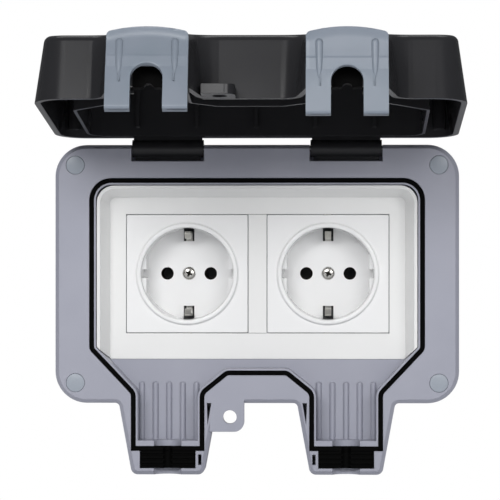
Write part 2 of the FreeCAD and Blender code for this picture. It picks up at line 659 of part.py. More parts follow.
def make_back_box():
    body = new_body("back_box")
    outer = front(body, "box_outline", "0")
    loop(outer, BOX)
    pad(body, "box_block", outer, "box_depth")
    inner = front(body, "box_hollow_outline", "box_depth")
    loop(inner, inset(BOX, "box_wall"))
    pocket(body, "box_hollow", inner, "box_depth - box_floor")
    pillars = front(body, "pillar_outline", "box_floor / 2")
    for sx in (-1, 1):
        for sz in (-1, 1):
            ring(pillars, "%d * %s" % (sx, CORNER_X), "%d * %s" % (sz, CORNER_Z),
                 "pillar_radius")
    pad(body, "pillars", pillars, "box_depth - box_floor / 2 - play")
    holes = front(body, "pillar_hole_outline", "box_depth")
    for sx in (-1, 1):
        for sz in (-1, 1):
            ring(holes, "%d * %s" % (sx, CORNER_X), "%d * %s" % (sz, CORNER_Z), "pilot_hole")
    pocket(body, "pillar_holes", holes, "pilot_depth")
    trim = front(body, "pillar_trim_outline", "0")
    loop(trim, inset(BOX, "0 - 2 * pillar_radius"))
    loop(trim, BOX)
    pocket(body, "pillar_trim", trim, "box_depth + 1", ahead=True)
    wall = front(body, "wall_hole_outline", "box_floor")
    for sx in (-1, 1):
        for sz in (-1, 1):
            ring(wall, "%d * wall_hole_x" % sx, "%d * wall_hole_z" % sz, "wall_hole")
    pocket(body, "wall_holes", wall, "box_floor + 1")
    knock = front(body, "knockout_outline", "0")
    for _, side in SIDES:
        x = "%d * knockout_across" % side
        ring(knock, x, "0", "knockout_radius")
        ring(knock, x, "0", "knockout_radius - knockout_line")
    pocket(body, "back_knockouts", knock, "knockout_cut", ahead=True)
    ends = sketch(body, "end_knockout_outline", "XY_Plane", "0 - face_height / 2 + box_inset")
    for _, side in SIDES:
        x = "%d * knockout_across" % side
        ring(ends, x, "0 - box_depth / 2", "knockout_radius")
        ring(ends, x, "0 - box_depth / 2", "knockout_radius - knockout_line")
    pocket(body, "end_knockouts", ends, "knockout_cut", ahead=True)
    return node(body, "back_box")


def make_frame():
    body = new_body("frame_moulding")
    outer = front(body, "face_outline", FRAME_REAR)
    loop(outer, FACE)
    block_pad = pad(body, "face_block", outer, "base_depth - " + FRAME_REAR)
    doc.recompute()
    front_face = max(range(len(block_pad.Shape.Faces)),
                     key=lambda i: -block_pad.Shape.Faces[i].CenterOfMass.y)
    bevel = body.newObject("PartDesign::Chamfer", "face_bevel")
    bevel.Base = (block_pad, ["Face%d" % (front_face + 1)])
    tie(bevel, "Size", "face_chamfer")
    hollow = front(body, "skirt_hollow_outline", FRAME_REAR)
    loop(hollow, inset(BOX, "skirt_wall"))
    tray_half = "seal_half_width + tray_wall"
    tray_low = "(seal_side_low + tray_wall)"
    loop(hollow, mirrored([
        (tray_half, "seal_top + tray_wall", "seal_round + tray_wall"),
        (tray_half, "0 - " + tray_low, "0"),
        (tray_half + " - tray_chamfer", "0 - %s - tray_chamfer" % tray_low, "0"),
    ]))
    pocket(body, "skirt_hollow", hollow, "base_depth - face_wall - " + FRAME_REAR, ahead=True)
    floors = front(body, "funnel_floor_outline", FRAME_REAR)
    for _, side in SIDES:
        middle = "%d * funnel_centre" % side
        loop(floors, box_corners(middle + " - seal_funnel_half - tray_wall",
                                 "box_inset + skirt_wall / 3 - face_height / 2",
                                 middle + " + seal_funnel_half + tray_wall",
                                 "tray_wall - tray_chamfer - " + tray_low))
    pad(body, "funnel_floors", floors, "base_depth - face_wall / 2 - " + FRAME_REAR)
    extras = front(body, "frame_pillar_outline", FRAME_REAR)
    for sx in (-1, 1):
        for sz in (-1, 1):
            ring(extras, "%d * %s" % (sx, CORNER_X), "%d * %s" % (sz, CORNER_Z),
                 "pillar_radius")
    pad(body, "frame_pillars", extras, "base_depth - face_wall / 2 - " + FRAME_REAR)
    hinge_base = front(body, "hinge_block_outline", FRAME_REAR)
    for _, side in SIDES:
        middle = "%d * funnel_centre" % side
        loop(hinge_base, box_corners(middle + " - pin_half - hinge_block_wall",
                                     "seal_top + tray_wall / 2",
                                     middle + " + pin_half + hinge_block_wall",
                                     TOP + " - box_inset - skirt_wall / 3"))
    pad(body, "hinge_blocks", hinge_base, "base_depth - face_wall / 2 - " + FRAME_REAR)
    deck = front(body, "deck_outline", STRAP_REAR + " - deck_sheet")
    loop(deck, box_corners("0 - seal_half_width", "0 - bezel_low - deck_margin", "seal_half_width",
                           "seal_top", "seal_round"))
    pad(body, "deck", deck, "recess_depth")
    tab = front(body, "tab_outline", "base_depth - tab_sheet")
    loop(tab, [("0 - tab_outer - tab_root", "skirt_wall - face_height / 2", "0"),
               ("0 - tab_outer - tab_root", "0 - face_height / 2 - tab_drop", "0"),
               ("0 - tab_inner", "0 - face_height / 2 - tab_drop", "tab_round"),
               ("0 - tab_inner", "skirt_wall - face_height / 2", "0")])
    pad(body, "padlock_tab", tab, "tab_sheet")
    groove = front(body, "groove_outline", "base_depth")
    loop(groove, SEAL)
    loop(groove, inset(SEAL, "seal_groove"))
    pocket(body, "seal_groove_cut", groove, "seal_groove_depth")
    tray = front(body, "tray_outline", "base_depth + 1")
    loop(tray, [(x, "0 - channel_end", r) if "seal_end" in z else (x, z, r)
                for x, z, r in TRAY])
    pocket(body, "tray", tray, "recess_depth + 1")
    seat = front(body, "bezel_seat_outline", BEZEL_FACE)
    loop(seat, under_slope("seal_half_width - %s - seat_margin" % TRAY_EDGE,
                           "seal_top - %s - seat_margin" % TRAY_EDGE,
                           "bezel_low", TRAY_EDGE + " + bezel_fit / 2", "bezel_round / 2"))
    pocket(body, "bezel_seat", seat, "bezel_sheet")
    straps = front(body, "strap_seat_outline", BEZEL_REAR)
    loop(straps, box_corners("0 - socket_pitch / 2 - strap_side / 2 - play",
                             "0 - strap_side / 2 - play",
                             "socket_pitch / 2 + strap_side / 2 + play",
                             "strap_side / 2 + play", "strap_round"))
    pocket(body, "strap_seat", straps, "strap_sheet")
    window = front(body, "deck_window_outline", STRAP_REAR)
    loop(window, box_corners("0 - " + WINDOW_X, "0 - " + WINDOW_Z, WINDOW_X, WINDOW_Z))
    pocket(body, "deck_window", window, "deck_sheet + 2")
    pilots = front(body, "strap_pilot_outline", STRAP_REAR)
    for _, side in SIDES:
        for sz in (-1, 1):
            ring(pilots, "%d * socket_pitch / 2" % side,
                 "%d * (strap_side / 2 - strap_screw_in)" % sz, "strap_pilot")
    pocket(body, "strap_pilots", pilots, "deck_sheet + 1")
    ribs = sketch(body, "rib_outline", "XY_Plane", "0 - rib_top")
    for _, side in SIDES:
        for k in range(int(value("rib_count"))):
            x = "%d * funnel_centre + (%d - (rib_count - 1) / 2) * rib_pitch" % (side, k)
            ring(ribs, x, "0 - %s - rib_rise + rib_width / 2" % BEZEL_FACE, "rib_width / 2")
    pad(body, "channel_ribs", ribs, "channel_end + 0.5 - rib_top", back=True)
    glands = front(body, "gland_seat_outline", "base_depth")
    for _, side in SIDES:
        middle = "%d * funnel_centre" % side
        loop(glands, box_corners(middle + " - gland_half", "0 - gland_bottom",
                                 middle + " + gland_half", "0 - seal_end"))
    pocket(body, "gland_seats", glands, "gland_depth")
    for name, start, length in (
            ("inner", "channel_end - 1", "seal_end - seal_groove - channel_end + 1.2"),
            ("outer", "gland_bottom - 0.4", END + " - gland_bottom + 2")):
        saddles = sketch(body, name + "_saddle_outline", "XY_Plane", "0 - (%s)" % start)
        for _, side in SIDES:
            ring(saddles, "%d * funnel_centre" % side, "0 - base_depth", "cable_radius")
        pocket(body, name + "_cable_saddles", saddles, length)
    catches = front(body, "catch_outline", FRAME_REAR)
    for _, side in SIDES:
        middle = "%d * funnel_centre" % side
        loop(catches, box_corners(middle + " - latch_half - 1", "0 - %s - 1" % END,
                                  middle + " + latch_half + 1",
                                  "0 - %s + catch_step" % END))
    pocket(body, "latch_catches", catches,
           "base_depth - catch_lip - " + FRAME_REAR, ahead=True)
    drains = front(body, "drain_outline", "base_depth")
    for _, side in SIDES:
        inner = "%d * (funnel_centre - seal_funnel_half - drain_land)" % side
        loop(drains, [(inner, "0 - face_height / 2", "0"),
                      (inner + " - %d * drain_width" % side, "0 - face_height / 2", "0"),
                      (inner + " - %d * drain_tip" % side, "0 - face_height / 2 - drain_drop",
                       "0")])
        near = "%d * (funnel_centre - gland_half - slot_land)" % side
        far = "%d * (funnel_centre - gland_half - slot_land - slot_wide)" % side
        low, high = (near, far) if side < 0 else (far, near)
        loop(drains, box_corners(low, "slot_short - gland_bottom", high,
                                 "0 - seal_end - slot_short"))
    pocket(body, "drain_slots", drains, "base_depth - %s + 1" % FRAME_REAR)
    wells = front(body, "cap_well_outline", "base_depth")
    shafts = front(body, "screw_hole_outline", "base_depth")
    for sx in (-1, 1):
        for sz in (-1, 1):
            spot = ("%d * %s" % (sx, CORNER_X), "%d * %s" % (sz, CORNER_Z))
            ring(wells, spot[0], spot[1], "cap_radius")
            ring(shafts, spot[0], spot[1], "screw_hole")
    pocket(body, "cap_wells", wells, "cap_well")
    pocket(body, "screw_holes", shafts, "base_depth")
    eye = front(body, "eye_outline", "base_depth + 1")
    ring(eye, "0 - eye_across", "0 - face_height / 2 - eye_drop", "eye_radius")
    pocket(body, "padlock_eye", eye, "tab_sheet + 2")
    notch = front(body, "hinge_notch_outline", "base_depth + 1")
    for _, side in SIDES:
        middle = "%d * funnel_centre" % side
        loop(notch, box_corners(middle + " - barrel_half - barrel_play",
                                HINGE_HEIGHT + " - heel_reach - hinge_gap",
                                middle + " + barrel_half + barrel_play", TOP + " + 2"))
    pocket(body, "hinge_notches", notch, "1 + hinge_behind + heel_reach + hinge_gap")
    bores = sketch(body, "hinge_bore_outline", "YZ_Plane", "0")
    ring(bores, "0 - " + HINGE_DEPTH, HINGE_HEIGHT, "pin_radius + pin_play / 2")
    pocket(body, "hinge_bores", bores, "2 * (funnel_centre + pin_half)", both=True)
    parted = part_off("front_frame", body,
                      zones(CHANNEL_HALF, "(channel_end - bezel_fit)", GAP_CUT, True))
    return node(parted, "front_frame")


def make_ring(name, corners, near, far, depth, height):
    """A flat or deep ring between two insets of one outline."""
    body = new_body(name)
    drawn = front(body, name + "_outline", depth)
    loop(drawn, inset(corners, near))
    loop(drawn, inset(corners, far))
    pad(body, name + "_pad", drawn, height)
    return node(body, name)


def cut_cable_groove(body, name, sides):
    """The half round groove that a cable lies in, across the lower end of each funnel."""
    drawn = sketch(body, name + "_cable_outline", "XY_Plane", "0 - seal_end + seal_groove + 1")
    for side in sides:
        ring(drawn, "%d * funnel_centre" % side, "0 - base_depth - lid_gap / 2", "gland_hole")
    pocket(body, name + "_cable_groove", drawn, END + " - seal_end + seal_groove")


def make_seal():
    """The rubber ring in the frame's groove."""
    body = new_body("lid_seal")
    drawn = front(body, "lid_seal_outline", GROOVE_FLOOR)
    loop(drawn, inset(SEAL, "seal_fit"))
    loop(drawn, inset(SEAL, "seal_groove - seal_fit"))
    pad(body, "lid_seal_ring", drawn, "seal_proud")
    cut_cable_groove(body, "lid_seal", (-1, 1))
    return node(body, "lid_seal")


def make_gland(name, side, half, low, near, far, face_far):
    """A rubber block with a cable groove and ridges across the face that meets the other half."""
    body = new_body(name)
    middle = "%d * funnel_centre" % side
    drawn = front(body, name + "_outline", near)
    loop(drawn, box_corners("%s - (%s)" % (middle, half), "0 - (%s)" % low,
                            "%s + (%s)" % (middle, half), "0 - seal_end - rubber_fit",
                            "ridge_groove"))
    pad(body, name + "_pad", drawn, "%s - (%s)" % (far, near))
    slots = front(body, name + "_slots", far if face_far else near)
    for k in range(int(value("ridge_count"))):
        z = "0 - seal_end - ridge_first - %d * ridge_pitch" % k
        loop(slots, box_corners(middle + " - gland_half", z + " - ridge_groove",
                                middle + " + gland_half", z))
    pocket(body, name + "_ridges", slots, "ridge_depth", ahead=not face_far)
    cut_cable_groove(body, name, (side,))
    return body


def make_bezel():
    body = new_body("inner_bezel")
    half = "(seal_half_width - %s - bezel_fit)" % TRAY_EDGE
    top = "(seal_top - %s - bezel_fit)" % TRAY_EDGE
    rim = "(base_depth - bezel_drop)"
    outer = front(body, "bezel_outline", rim)
    loop(outer, box_corners("0 - " + half, "0 - bezel_low - 20", half, top, "bezel_round"))
    pad(body, "bezel_block", outer, rim + " - " + BEZEL_REAR, taper="0 - bezel_slope",
        back=True)
    trim = front(body, "bezel_trim_outline", rim + " + 1")
    loop(trim, box_corners("0 - seal_half_width", "0 - 2 * seal_top", "seal_half_width",
                           "seal_top + 2"))
    loop(trim, under_slope(half + " + 1", top + " + 1", "bezel_low - bezel_fit / 3",
                           TRAY_EDGE + " + bezel_fit", "0"))
    pocket(body, "bezel_trim", trim, "recess_depth + 10")
    dish = front(body, "dish_outline", rim)
    loop(dish, box_corners("0 - " + half + " + bezel_wall", "0 - bezel_low - 30",
                           half + " - bezel_wall", top + " - bezel_wall",
                           "bezel_round - bezel_wall"))
    pocket(body, "dish", dish, rim + " - " + BEZEL_FACE, taper="0 - bezel_slope")
    opening = front(body, "opening_outline", BEZEL_FACE)
    loop(opening, box_corners("0 - socket_pitch / 2 - cover_width / 2 - cover_gap",
                              "0 - cover_height / 2 - cover_gap",
                              "socket_pitch / 2 + cover_width / 2 + cover_gap",
                              "cover_height / 2 + cover_gap"))
    pocket(body, "opening", opening, "bezel_sheet + 1")
    return node(body, "inner_bezel")


def make_strip():
    body = new_body("centre_strip")
    half = "(socket_pitch / 2 - cover_width / 2 - cover_gap)"
    drawn = front(body, "strip_outline", BEZEL_REAR)
    loop(drawn, box_corners("0 - " + half, "0 - cover_height / 2", half, "cover_height / 2"))
    pad(body, "strip_pad", drawn, "bezel_sheet")
    return node(body, "centre_strip")


def make_cover(name, side):
    """The square cover and the plug well, one moulding."""
    body = new_body(name + "_moulding")
    square = front(body, name + "_outline", BEZEL_REAR)
    loop(square, box_corners("0 - cover_width / 2", "0 - cover_height / 2",
                             "cover_width / 2", "cover_height / 2", "cover_round"))
    ring(square, "0", "0", "well_radius + well_wall / 2")
    pad(body, name + "_plate", square, "cover_sheet")
    pot = sketch(body, name + "_pot_section", "YZ_Plane", "0")
    outside = "well_radius + well_wall"
    loop(pot, [("0 - (%s - well_floor)" % WELL_FLOOR, "0", "0"),
               ("0 - (%s - well_floor)" % WELL_FLOOR,
                outside + " + well_floor_radius - well_radius", "0"),
               ("0 - %s" % BEZEL_REAR, outside, "0"),
               ("0 - %s" % COVER_FACE, "well_radius + rim_width + rim_step", "0"),
               ("0 - %s - rim_step" % COVER_FACE, "well_radius + rim_width", "0"),
               ("0 - %s" % WELL_RIM, "well_radius + rim_width", "rim_round"),
               ("0 - %s" % WELL_RIM, "well_radius", "rim_round"),
               ("0 - %s" % WELL_FLOOR, "well_floor_radius", "0"),
               ("0 - %s" % WELL_FLOOR, "0", "0")])
    turned(body, name + "_well", pot, "Y_Axis")
    holes = front(body, name + "_pin_outline", WELL_FLOOR + " + 1")
    ring(holes, "0 - pin_pitch / 2", "0", "pin_hole")
    ring(holes, "pin_pitch / 2", "0", "pin_hole")
    ring(holes, "0", "0", "screw_pass")
    pocket(body, name + "_pin_holes", holes, "well_floor + 2")
    seat = front(body, name + "_screw_seat_outline", WELL_FLOOR)
    ring(seat, "0", "0", "screw_seat")
    pocket(body, name + "_screw_seat", seat, "screw_sink")
    slots = front(body, name + "_slot_outline", WELL_FLOOR + " + slot_rise")
    for sz in (-1, 1):
        ends = ["%d * slot_low" % sz, "%d * (well_radius + well_wall + 0.5)" % sz]
        low, high = ends if sz > 0 else ends[::-1]
        loop(slots, box_corners("0 - slot_half", low, "slot_half", high))
    pocket(body, name + "_earth_slots", slots, "well_floor + slot_rise + 1")
    guides = front(body, name + "_guide_outline", WELL_FLOOR + " - well_floor / 4")
    for sx in (-1, 1):
        for sz in (-1, 1):
            spots = [("guide_inner", "guide_near"), ("guide_outer", "guide_near"),
                     ("(guide_outer - well_wall / 2)", "guide_far"), ("guide_inner", "guide_far")]
            loop(guides, [("%d * %s" % (sx, x), "%d * %s" % (sz, z), "0") for x, z in spots])
    pad(body, name + "_guides", guides, "well_depth - guide_short")
    parted = part_round(name, body, WELL_FLOOR)
    tie(parted, "Placement.Base.x", "%d * socket_pitch / 2" % side)
    return node(parted, name)


def make_insert(name, side):
    """The block behind a well: contact chambers, earth channel and two arms up to its strap."""
    body = new_body(name)
    rear = "(%s - insert_height)" % INSERT_FACE
    drawn = front(body, name + "_outline", rear)
    loop(drawn, box_corners("0 - insert_side / 2", "0 - insert_side / 2", "insert_side / 2",
                            "insert_side / 2", "insert_round"))
    pad(body, name + "_block", drawn, "insert_height")
    arms = front(body, name + "_arm_outline", rear + " + well_floor")
    for sx in (-1, 1):
        ends = ["%d * (insert_side - arm_sheet) / 2" % sx,
                "%d * (insert_side / 2 + arm_sheet * 2 / 3)" % sx]
        low, high = ends if sx > 0 else ends[::-1]
        loop(arms, box_corners(low, "0 - arm_half", high, "arm_half"))
    pad(body, name + "_arms", arms, "%s - %s - well_floor" % (STRAP_REAR, rear))
    trim = front(body, name + "_pot_room", STRAP_REAR + " + 1")
    ring(trim, "0", "0", "well_radius + well_wall + play")
    pocket(body, name + "_pot_clearance", trim, "%s - %s + 1" % (STRAP_REAR, INSERT_FACE))
    chambers = front(body, name + "_chamber_outline", INSERT_FACE)
    for sx in (-1, 1):
        ring(chambers, "%d * pin_pitch / 2" % sx, "0", "contact_radius + seal_fit")
    pocket(body, name + "_chambers", chambers, "contact_length + 1")
    bore = front(body, name + "_bore_outline", INSERT_FACE)
    ring(bore, "0", "0", "cover_shank_radius + seal_fit")
    pocket(body, name + "_bore", bore, "cover_shank")
    channel = front(body, name + "_channel_outline", INSERT_FACE)
    loop(channel, box_corners("0 - slot_half", "0 - clip_reach - play", "slot_half",
                              "clip_reach + play"))
    pocket(body, name + "_channel", channel, "channel_depth")
    entries = sketch(body, name + "_entry_outline", "XY_Plane", "insert_side / 2")
    for x in (-1, 0, 1):
        ring(entries, "%d * wire_pitch" % x, "0 - %s - wire_in" % rear, "wire_radius")
    pocket(body, name + "_wire_entries", entries, "wire_depth")
    sockets = front(body, name + "_terminal_outline", rear)
    for k in (-1, 0, 1):
        ring(sockets, "%d * wire_pitch" % k, "insert_side / 2 - terminal_in", "terminal_radius")
    pocket(body, name + "_terminal_holes", sockets, "terminal_sink", ahead=True)
    tie(body, "Placement.Base.x", "%d * socket_pitch / 2" % side)
    return node(body, name)


def make_strap(name, side):
    body = new_body(name)
    drawn = front(body, name + "_outline", STRAP_REAR)
    loop(drawn, box_corners("0 - strap_side / 2", "0 - strap_side / 2", "strap_side / 2",
                            "strap_side / 2", "strap_round"))
    ring(drawn, "0", "0", "well_radius + well_wall + play / 2")
    for sz in (-1, 1):
        ring(drawn, "0", "%d * (strap_side / 2 - strap_screw_in)" % sz, "strap_screw_hole")
    for sx in (-1, 1):
        for sz in (-1, 1):
            ring(drawn, "%d * strap_spare_at" % sx, "%d * strap_spare_at" % sz, "strap_spare")
    pad(body, name + "_sheet", drawn, "strap_sheet")
    seats = front(body, name + "_seat_outline", BEZEL_REAR)
    for sz in (-1, 1):
        ring(seats, "0", "%d * (strap_side / 2 - strap_screw_in)" % sz, "strap_head + play / 2")
    pocket(body, name + "_screw_seats", seats, "strap_head_height + seal_fit")
    tie(body, "Placement.Base.x", "%d * socket_pitch / 2" % side)
    return node(body, name)


def make_earth_clip(name, side):
    """One bent strip: a bar under the well and a sprung arm at its top and bottom."""
    body = new_body(name)
    drawn = sketch(body, name + "_section", "YZ_Plane", "0")
    start = "(%s - channel_depth)" % INSERT_FACE
    half = [(start, "clip_reach", "clip_sheet * 1.25"),
            (start + " + clip_straight", "clip_reach", "clip_round"),
            (start + " + clip_bend", "clip_nip", "clip_round"),
            (start + " + clip_length", "clip_tip", "0"),
            (start + " + clip_length + clip_sheet * 0.62", "clip_tip - clip_sheet * 0.88", "0"),
            (start + " + clip_bend", "clip_nip - clip_sheet * 1.35", "clip_round - clip_sheet"),
            (start + " + clip_straight - clip_sheet / 4", "clip_reach - clip_sheet",
             "clip_round"),
            (start + " + clip_sheet", "clip_reach - clip_sheet", "clip_sheet / 2")]
    upper = [("0 - (%s)" % d, z, r) for d, z, r in half]
    lower = [("0 - (%s)" % d, "0 - (%s)" % z, r) for d, z, r in reversed(half)]
    loop(drawn, upper + lower)
    pad(body, name + "_strip", drawn, "2 * clip_half", both=True)
    hole = front(body, name + "_hole_outline", start + " + 2 * clip_sheet")
    ring(hole, "0", "0", "cover_shank_radius + seal_fit")
    pocket(body, name + "_hole", hole, "3 * clip_sheet")
    tie(body, "Placement.Base.x", "%d * socket_pitch / 2" % side)
    return node(body, name)


def make_contact(name, side, sx):
    """A slit brass sleeve that grips a plug pin."""
    body = new_body(name)
    foot = "(%s - contact_length - 1)" % INSERT_FACE
    drawn = front(body, name + "_outline", foot)
    ring(drawn, "0", "0", "contact_radius")
    ring(drawn, "0", "0", "contact_bore")
    pad(body, name + "_sleeve", drawn, "contact_length")
    slit = front(body, name + "_slit_outline", foot + " + contact_length")
    loop(slit, box_corners("0 - contact_slit / 2", "0 - contact_radius - 1", "contact_slit / 2",
                           "contact_radius + 1"))
    pocket(body, name + "_slit", slit, "contact_length - contact_foot")
    tie(body, "Placement.Base.x", "%d * socket_pitch / 2 + %d * pin_pitch / 2" % (side, sx))
    return node(body, name)


def make_screw(name, head_radius, head, shank_radius, shank, x, under_head, z):
    """A screw pointing at the wall: head, shank and cross recess. The depth is under its head."""
    top = "(%s + %s)" % (under_head, head)
    pieces = fuse(name + "_blank", [
        rod(name + "_head", "forward", head_radius, head, x, under_head, z),
        rod(name + "_shank", "forward", shank_radius, shank + " + play", x,
            "%s - (%s)" % (under_head, shank), z)])
    arm = "%s * cross_reach" % head_radius
    half = "cross_half"
    slots = []
    for tag, across, up in (("a", arm, half), ("b", half, arm)):
        slots.append(block(name + "_slot_" + tag, "%s - %s" % (x, across),
                           "%s + %s" % (x, across), top + " - cross_depth", top + " + play",
                           "%s - %s" % (z, up), "%s + %s" % (z, up)))
    cross = fuse(name + "_cross", slots)
    return cut(name + "_screw", pieces, cross)


def make_screws():
    frame_screws = []
    caps = []
    for sx in (-1, 1):
        for sz in (-1, 1):
            tag = "%d" % (len(caps) + 1)
            x = "%d * %s" % (sx, CORNER_X)
            z = "%d * %s" % (sz, CORNER_Z)
            frame_screws.append(make_screw("frame_screw_" + tag, "head_radius", "head_height",
                                           "shank_radius", "shank_length", x,
                                           "(base_depth - cap_well)", z))
            caps.append(rod("screw_cap_" + tag, "forward", "cap_radius", "cap_sheet", x,
                            "base_depth - cap_sheet + cap_proud", z))
    node(group("frame_screw_set", frame_screws), "frame_screws")
    node(group("screw_cap_set", caps), "screw_caps")
    cover_screws = []
    strap_screws = []
    terminal_screws = []
    for tag, side in SIDES:
        x = "%d * socket_pitch / 2" % side
        cover_screws.append(make_screw("cover_screw_" + tag, "cover_head", "cover_head_height",
                                       "cover_shank_radius", "cover_shank", x,
                                       "(%s - screw_sink)" % WELL_FLOOR, "0"))
        for sz in (-1, 1):
            strap_screws.append(make_screw("strap_screw_%s_%d" % (tag, sz + 2), "strap_head",
                                           "strap_head_height", "strap_shank_radius",
                                           "strap_shank", x,
                                           "(%s - strap_head_height - seal_fit)" % BEZEL_REAR,
                                           "%d * (strap_side / 2 - strap_screw_in)" % sz))
        for k in (-1, 0, 1):
            terminal_screws.append(rod("terminal_screw_%s_%d" % (tag, k + 2), "forward",
                                       "terminal_radius", "terminal_length",
                                       "%s + %d * wire_pitch" % (x, k),
                                       "%s - insert_height + terminal_sink - terminal_length"
                                       % INSERT_FACE, "insert_side / 2 - terminal_in"))
    node(group("cover_screw_set", cover_screws), "cover_screws")
    node(group("strap_screw_set", strap_screws), "strap_screws")
    node(group("terminal_screw_set", terminal_screws), "terminal_screws")


# The lid is drawn closed and then swung open about its hinge
LID = inset(mirrored([
    (SIDE, TOP, "lid_round + lid_inset"),
    (SIDE, "0 - face_height / 2", "lid_round + lid_inset"),
    (FUNNEL_OUT, "0 - face_height / 2", "lid_root_round"),
    ("funnel_centre + funnel_end_half", "0 - " + END, "lid_end_round + lid_inset"),
    ("funnel_centre - funnel_end_half", "0 - " + END, "lid_end_round + lid_inset"),
    (FUNNEL_IN, "0 - face_height / 2", "lid_root_round"),
]), "lid_inset")


def crown(body, name, drop):
    """Cuts away what lies in front of the lid's bulging front, moved back by a drop."""
    drawn = sketch(body, name + "_outline", "YZ_Plane", "0")
    high = "face_height / 2 + 6"
    low = "0 - %s - 8" % END
    at_top = "(%s + lid_depth_top - (%s))" % (RIM, drop)
    at_end = "(%s + lid_depth_end - (%s))" % (RIM, drop)
    far = "(%s + lid_depth_top + 40)" % RIM
    top_point = V(-value(at_top), value(high), 0)
    end_point = V(-value(at_end), value(low), 0)
    chord = end_point - top_point
    bulge = value("lid_crown")
    middle = (top_point + end_point) * 0.5 + V(chord.y, -chord.x, 0).normalize() * bulge
    if middle.x > (top_point.x + end_point.x) / 2:
        middle = (top_point + end_point) - middle
    made = drawn.addGeometry(Part.Arc(top_point, middle, end_point), False)
    ends = [drawn.getPoint(made, 1), drawn.getPoint(made, 2)]
    first, last = (1, 2) if (ends[0] - top_point).Length < 1e-6 else (2, 1)
    corners = [V(-value(far), top_point.y, 0), V(-value(far), end_point.y, 0)]
    a = drawn.addGeometry(Part.LineSegment(top_point, corners[0]), False)
    b = drawn.addGeometry(Part.LineSegment(corners[0], corners[1]), False)
    c = drawn.addGeometry(Part.LineSegment(corners[1], end_point), False)
    rules = [Sketcher.Constraint("Coincident", made, first, a, 1),
             Sketcher.Constraint("Coincident", a, 2, b, 1),
             Sketcher.Constraint("Coincident", b, 2, c, 1),
             Sketcher.Constraint("Coincident", c, 2, made, last)]
    binds = [None, None, None, None]
    fix_point(drawn, rules, binds, (a, 1), "0 - " + at_top, high)
    fix_point(drawn, rules, binds, (c, 2), "0 - " + at_end, low)
    fix_point(drawn, rules, binds, (a, 2), "0 - " + far, high)
    fix_point(drawn, rules, binds, (b, 2), "0 - " + far, low)
    span = "sqrt(pow(%s - %s; 2) + pow((%s) - (%s); 2))" % (at_top, at_end, high, low)
    radius = "(pow(%s / 2; 2) + pow(lid_crown; 2)) / (2 * lid_crown)" % span
    rules.append(Sketcher.Constraint("Radius", made, value(radius)))
    binds.append(radius)
    settle(drawn, rules, binds)
    return pocket(body, name, drawn, "face_width * 2", both=True)


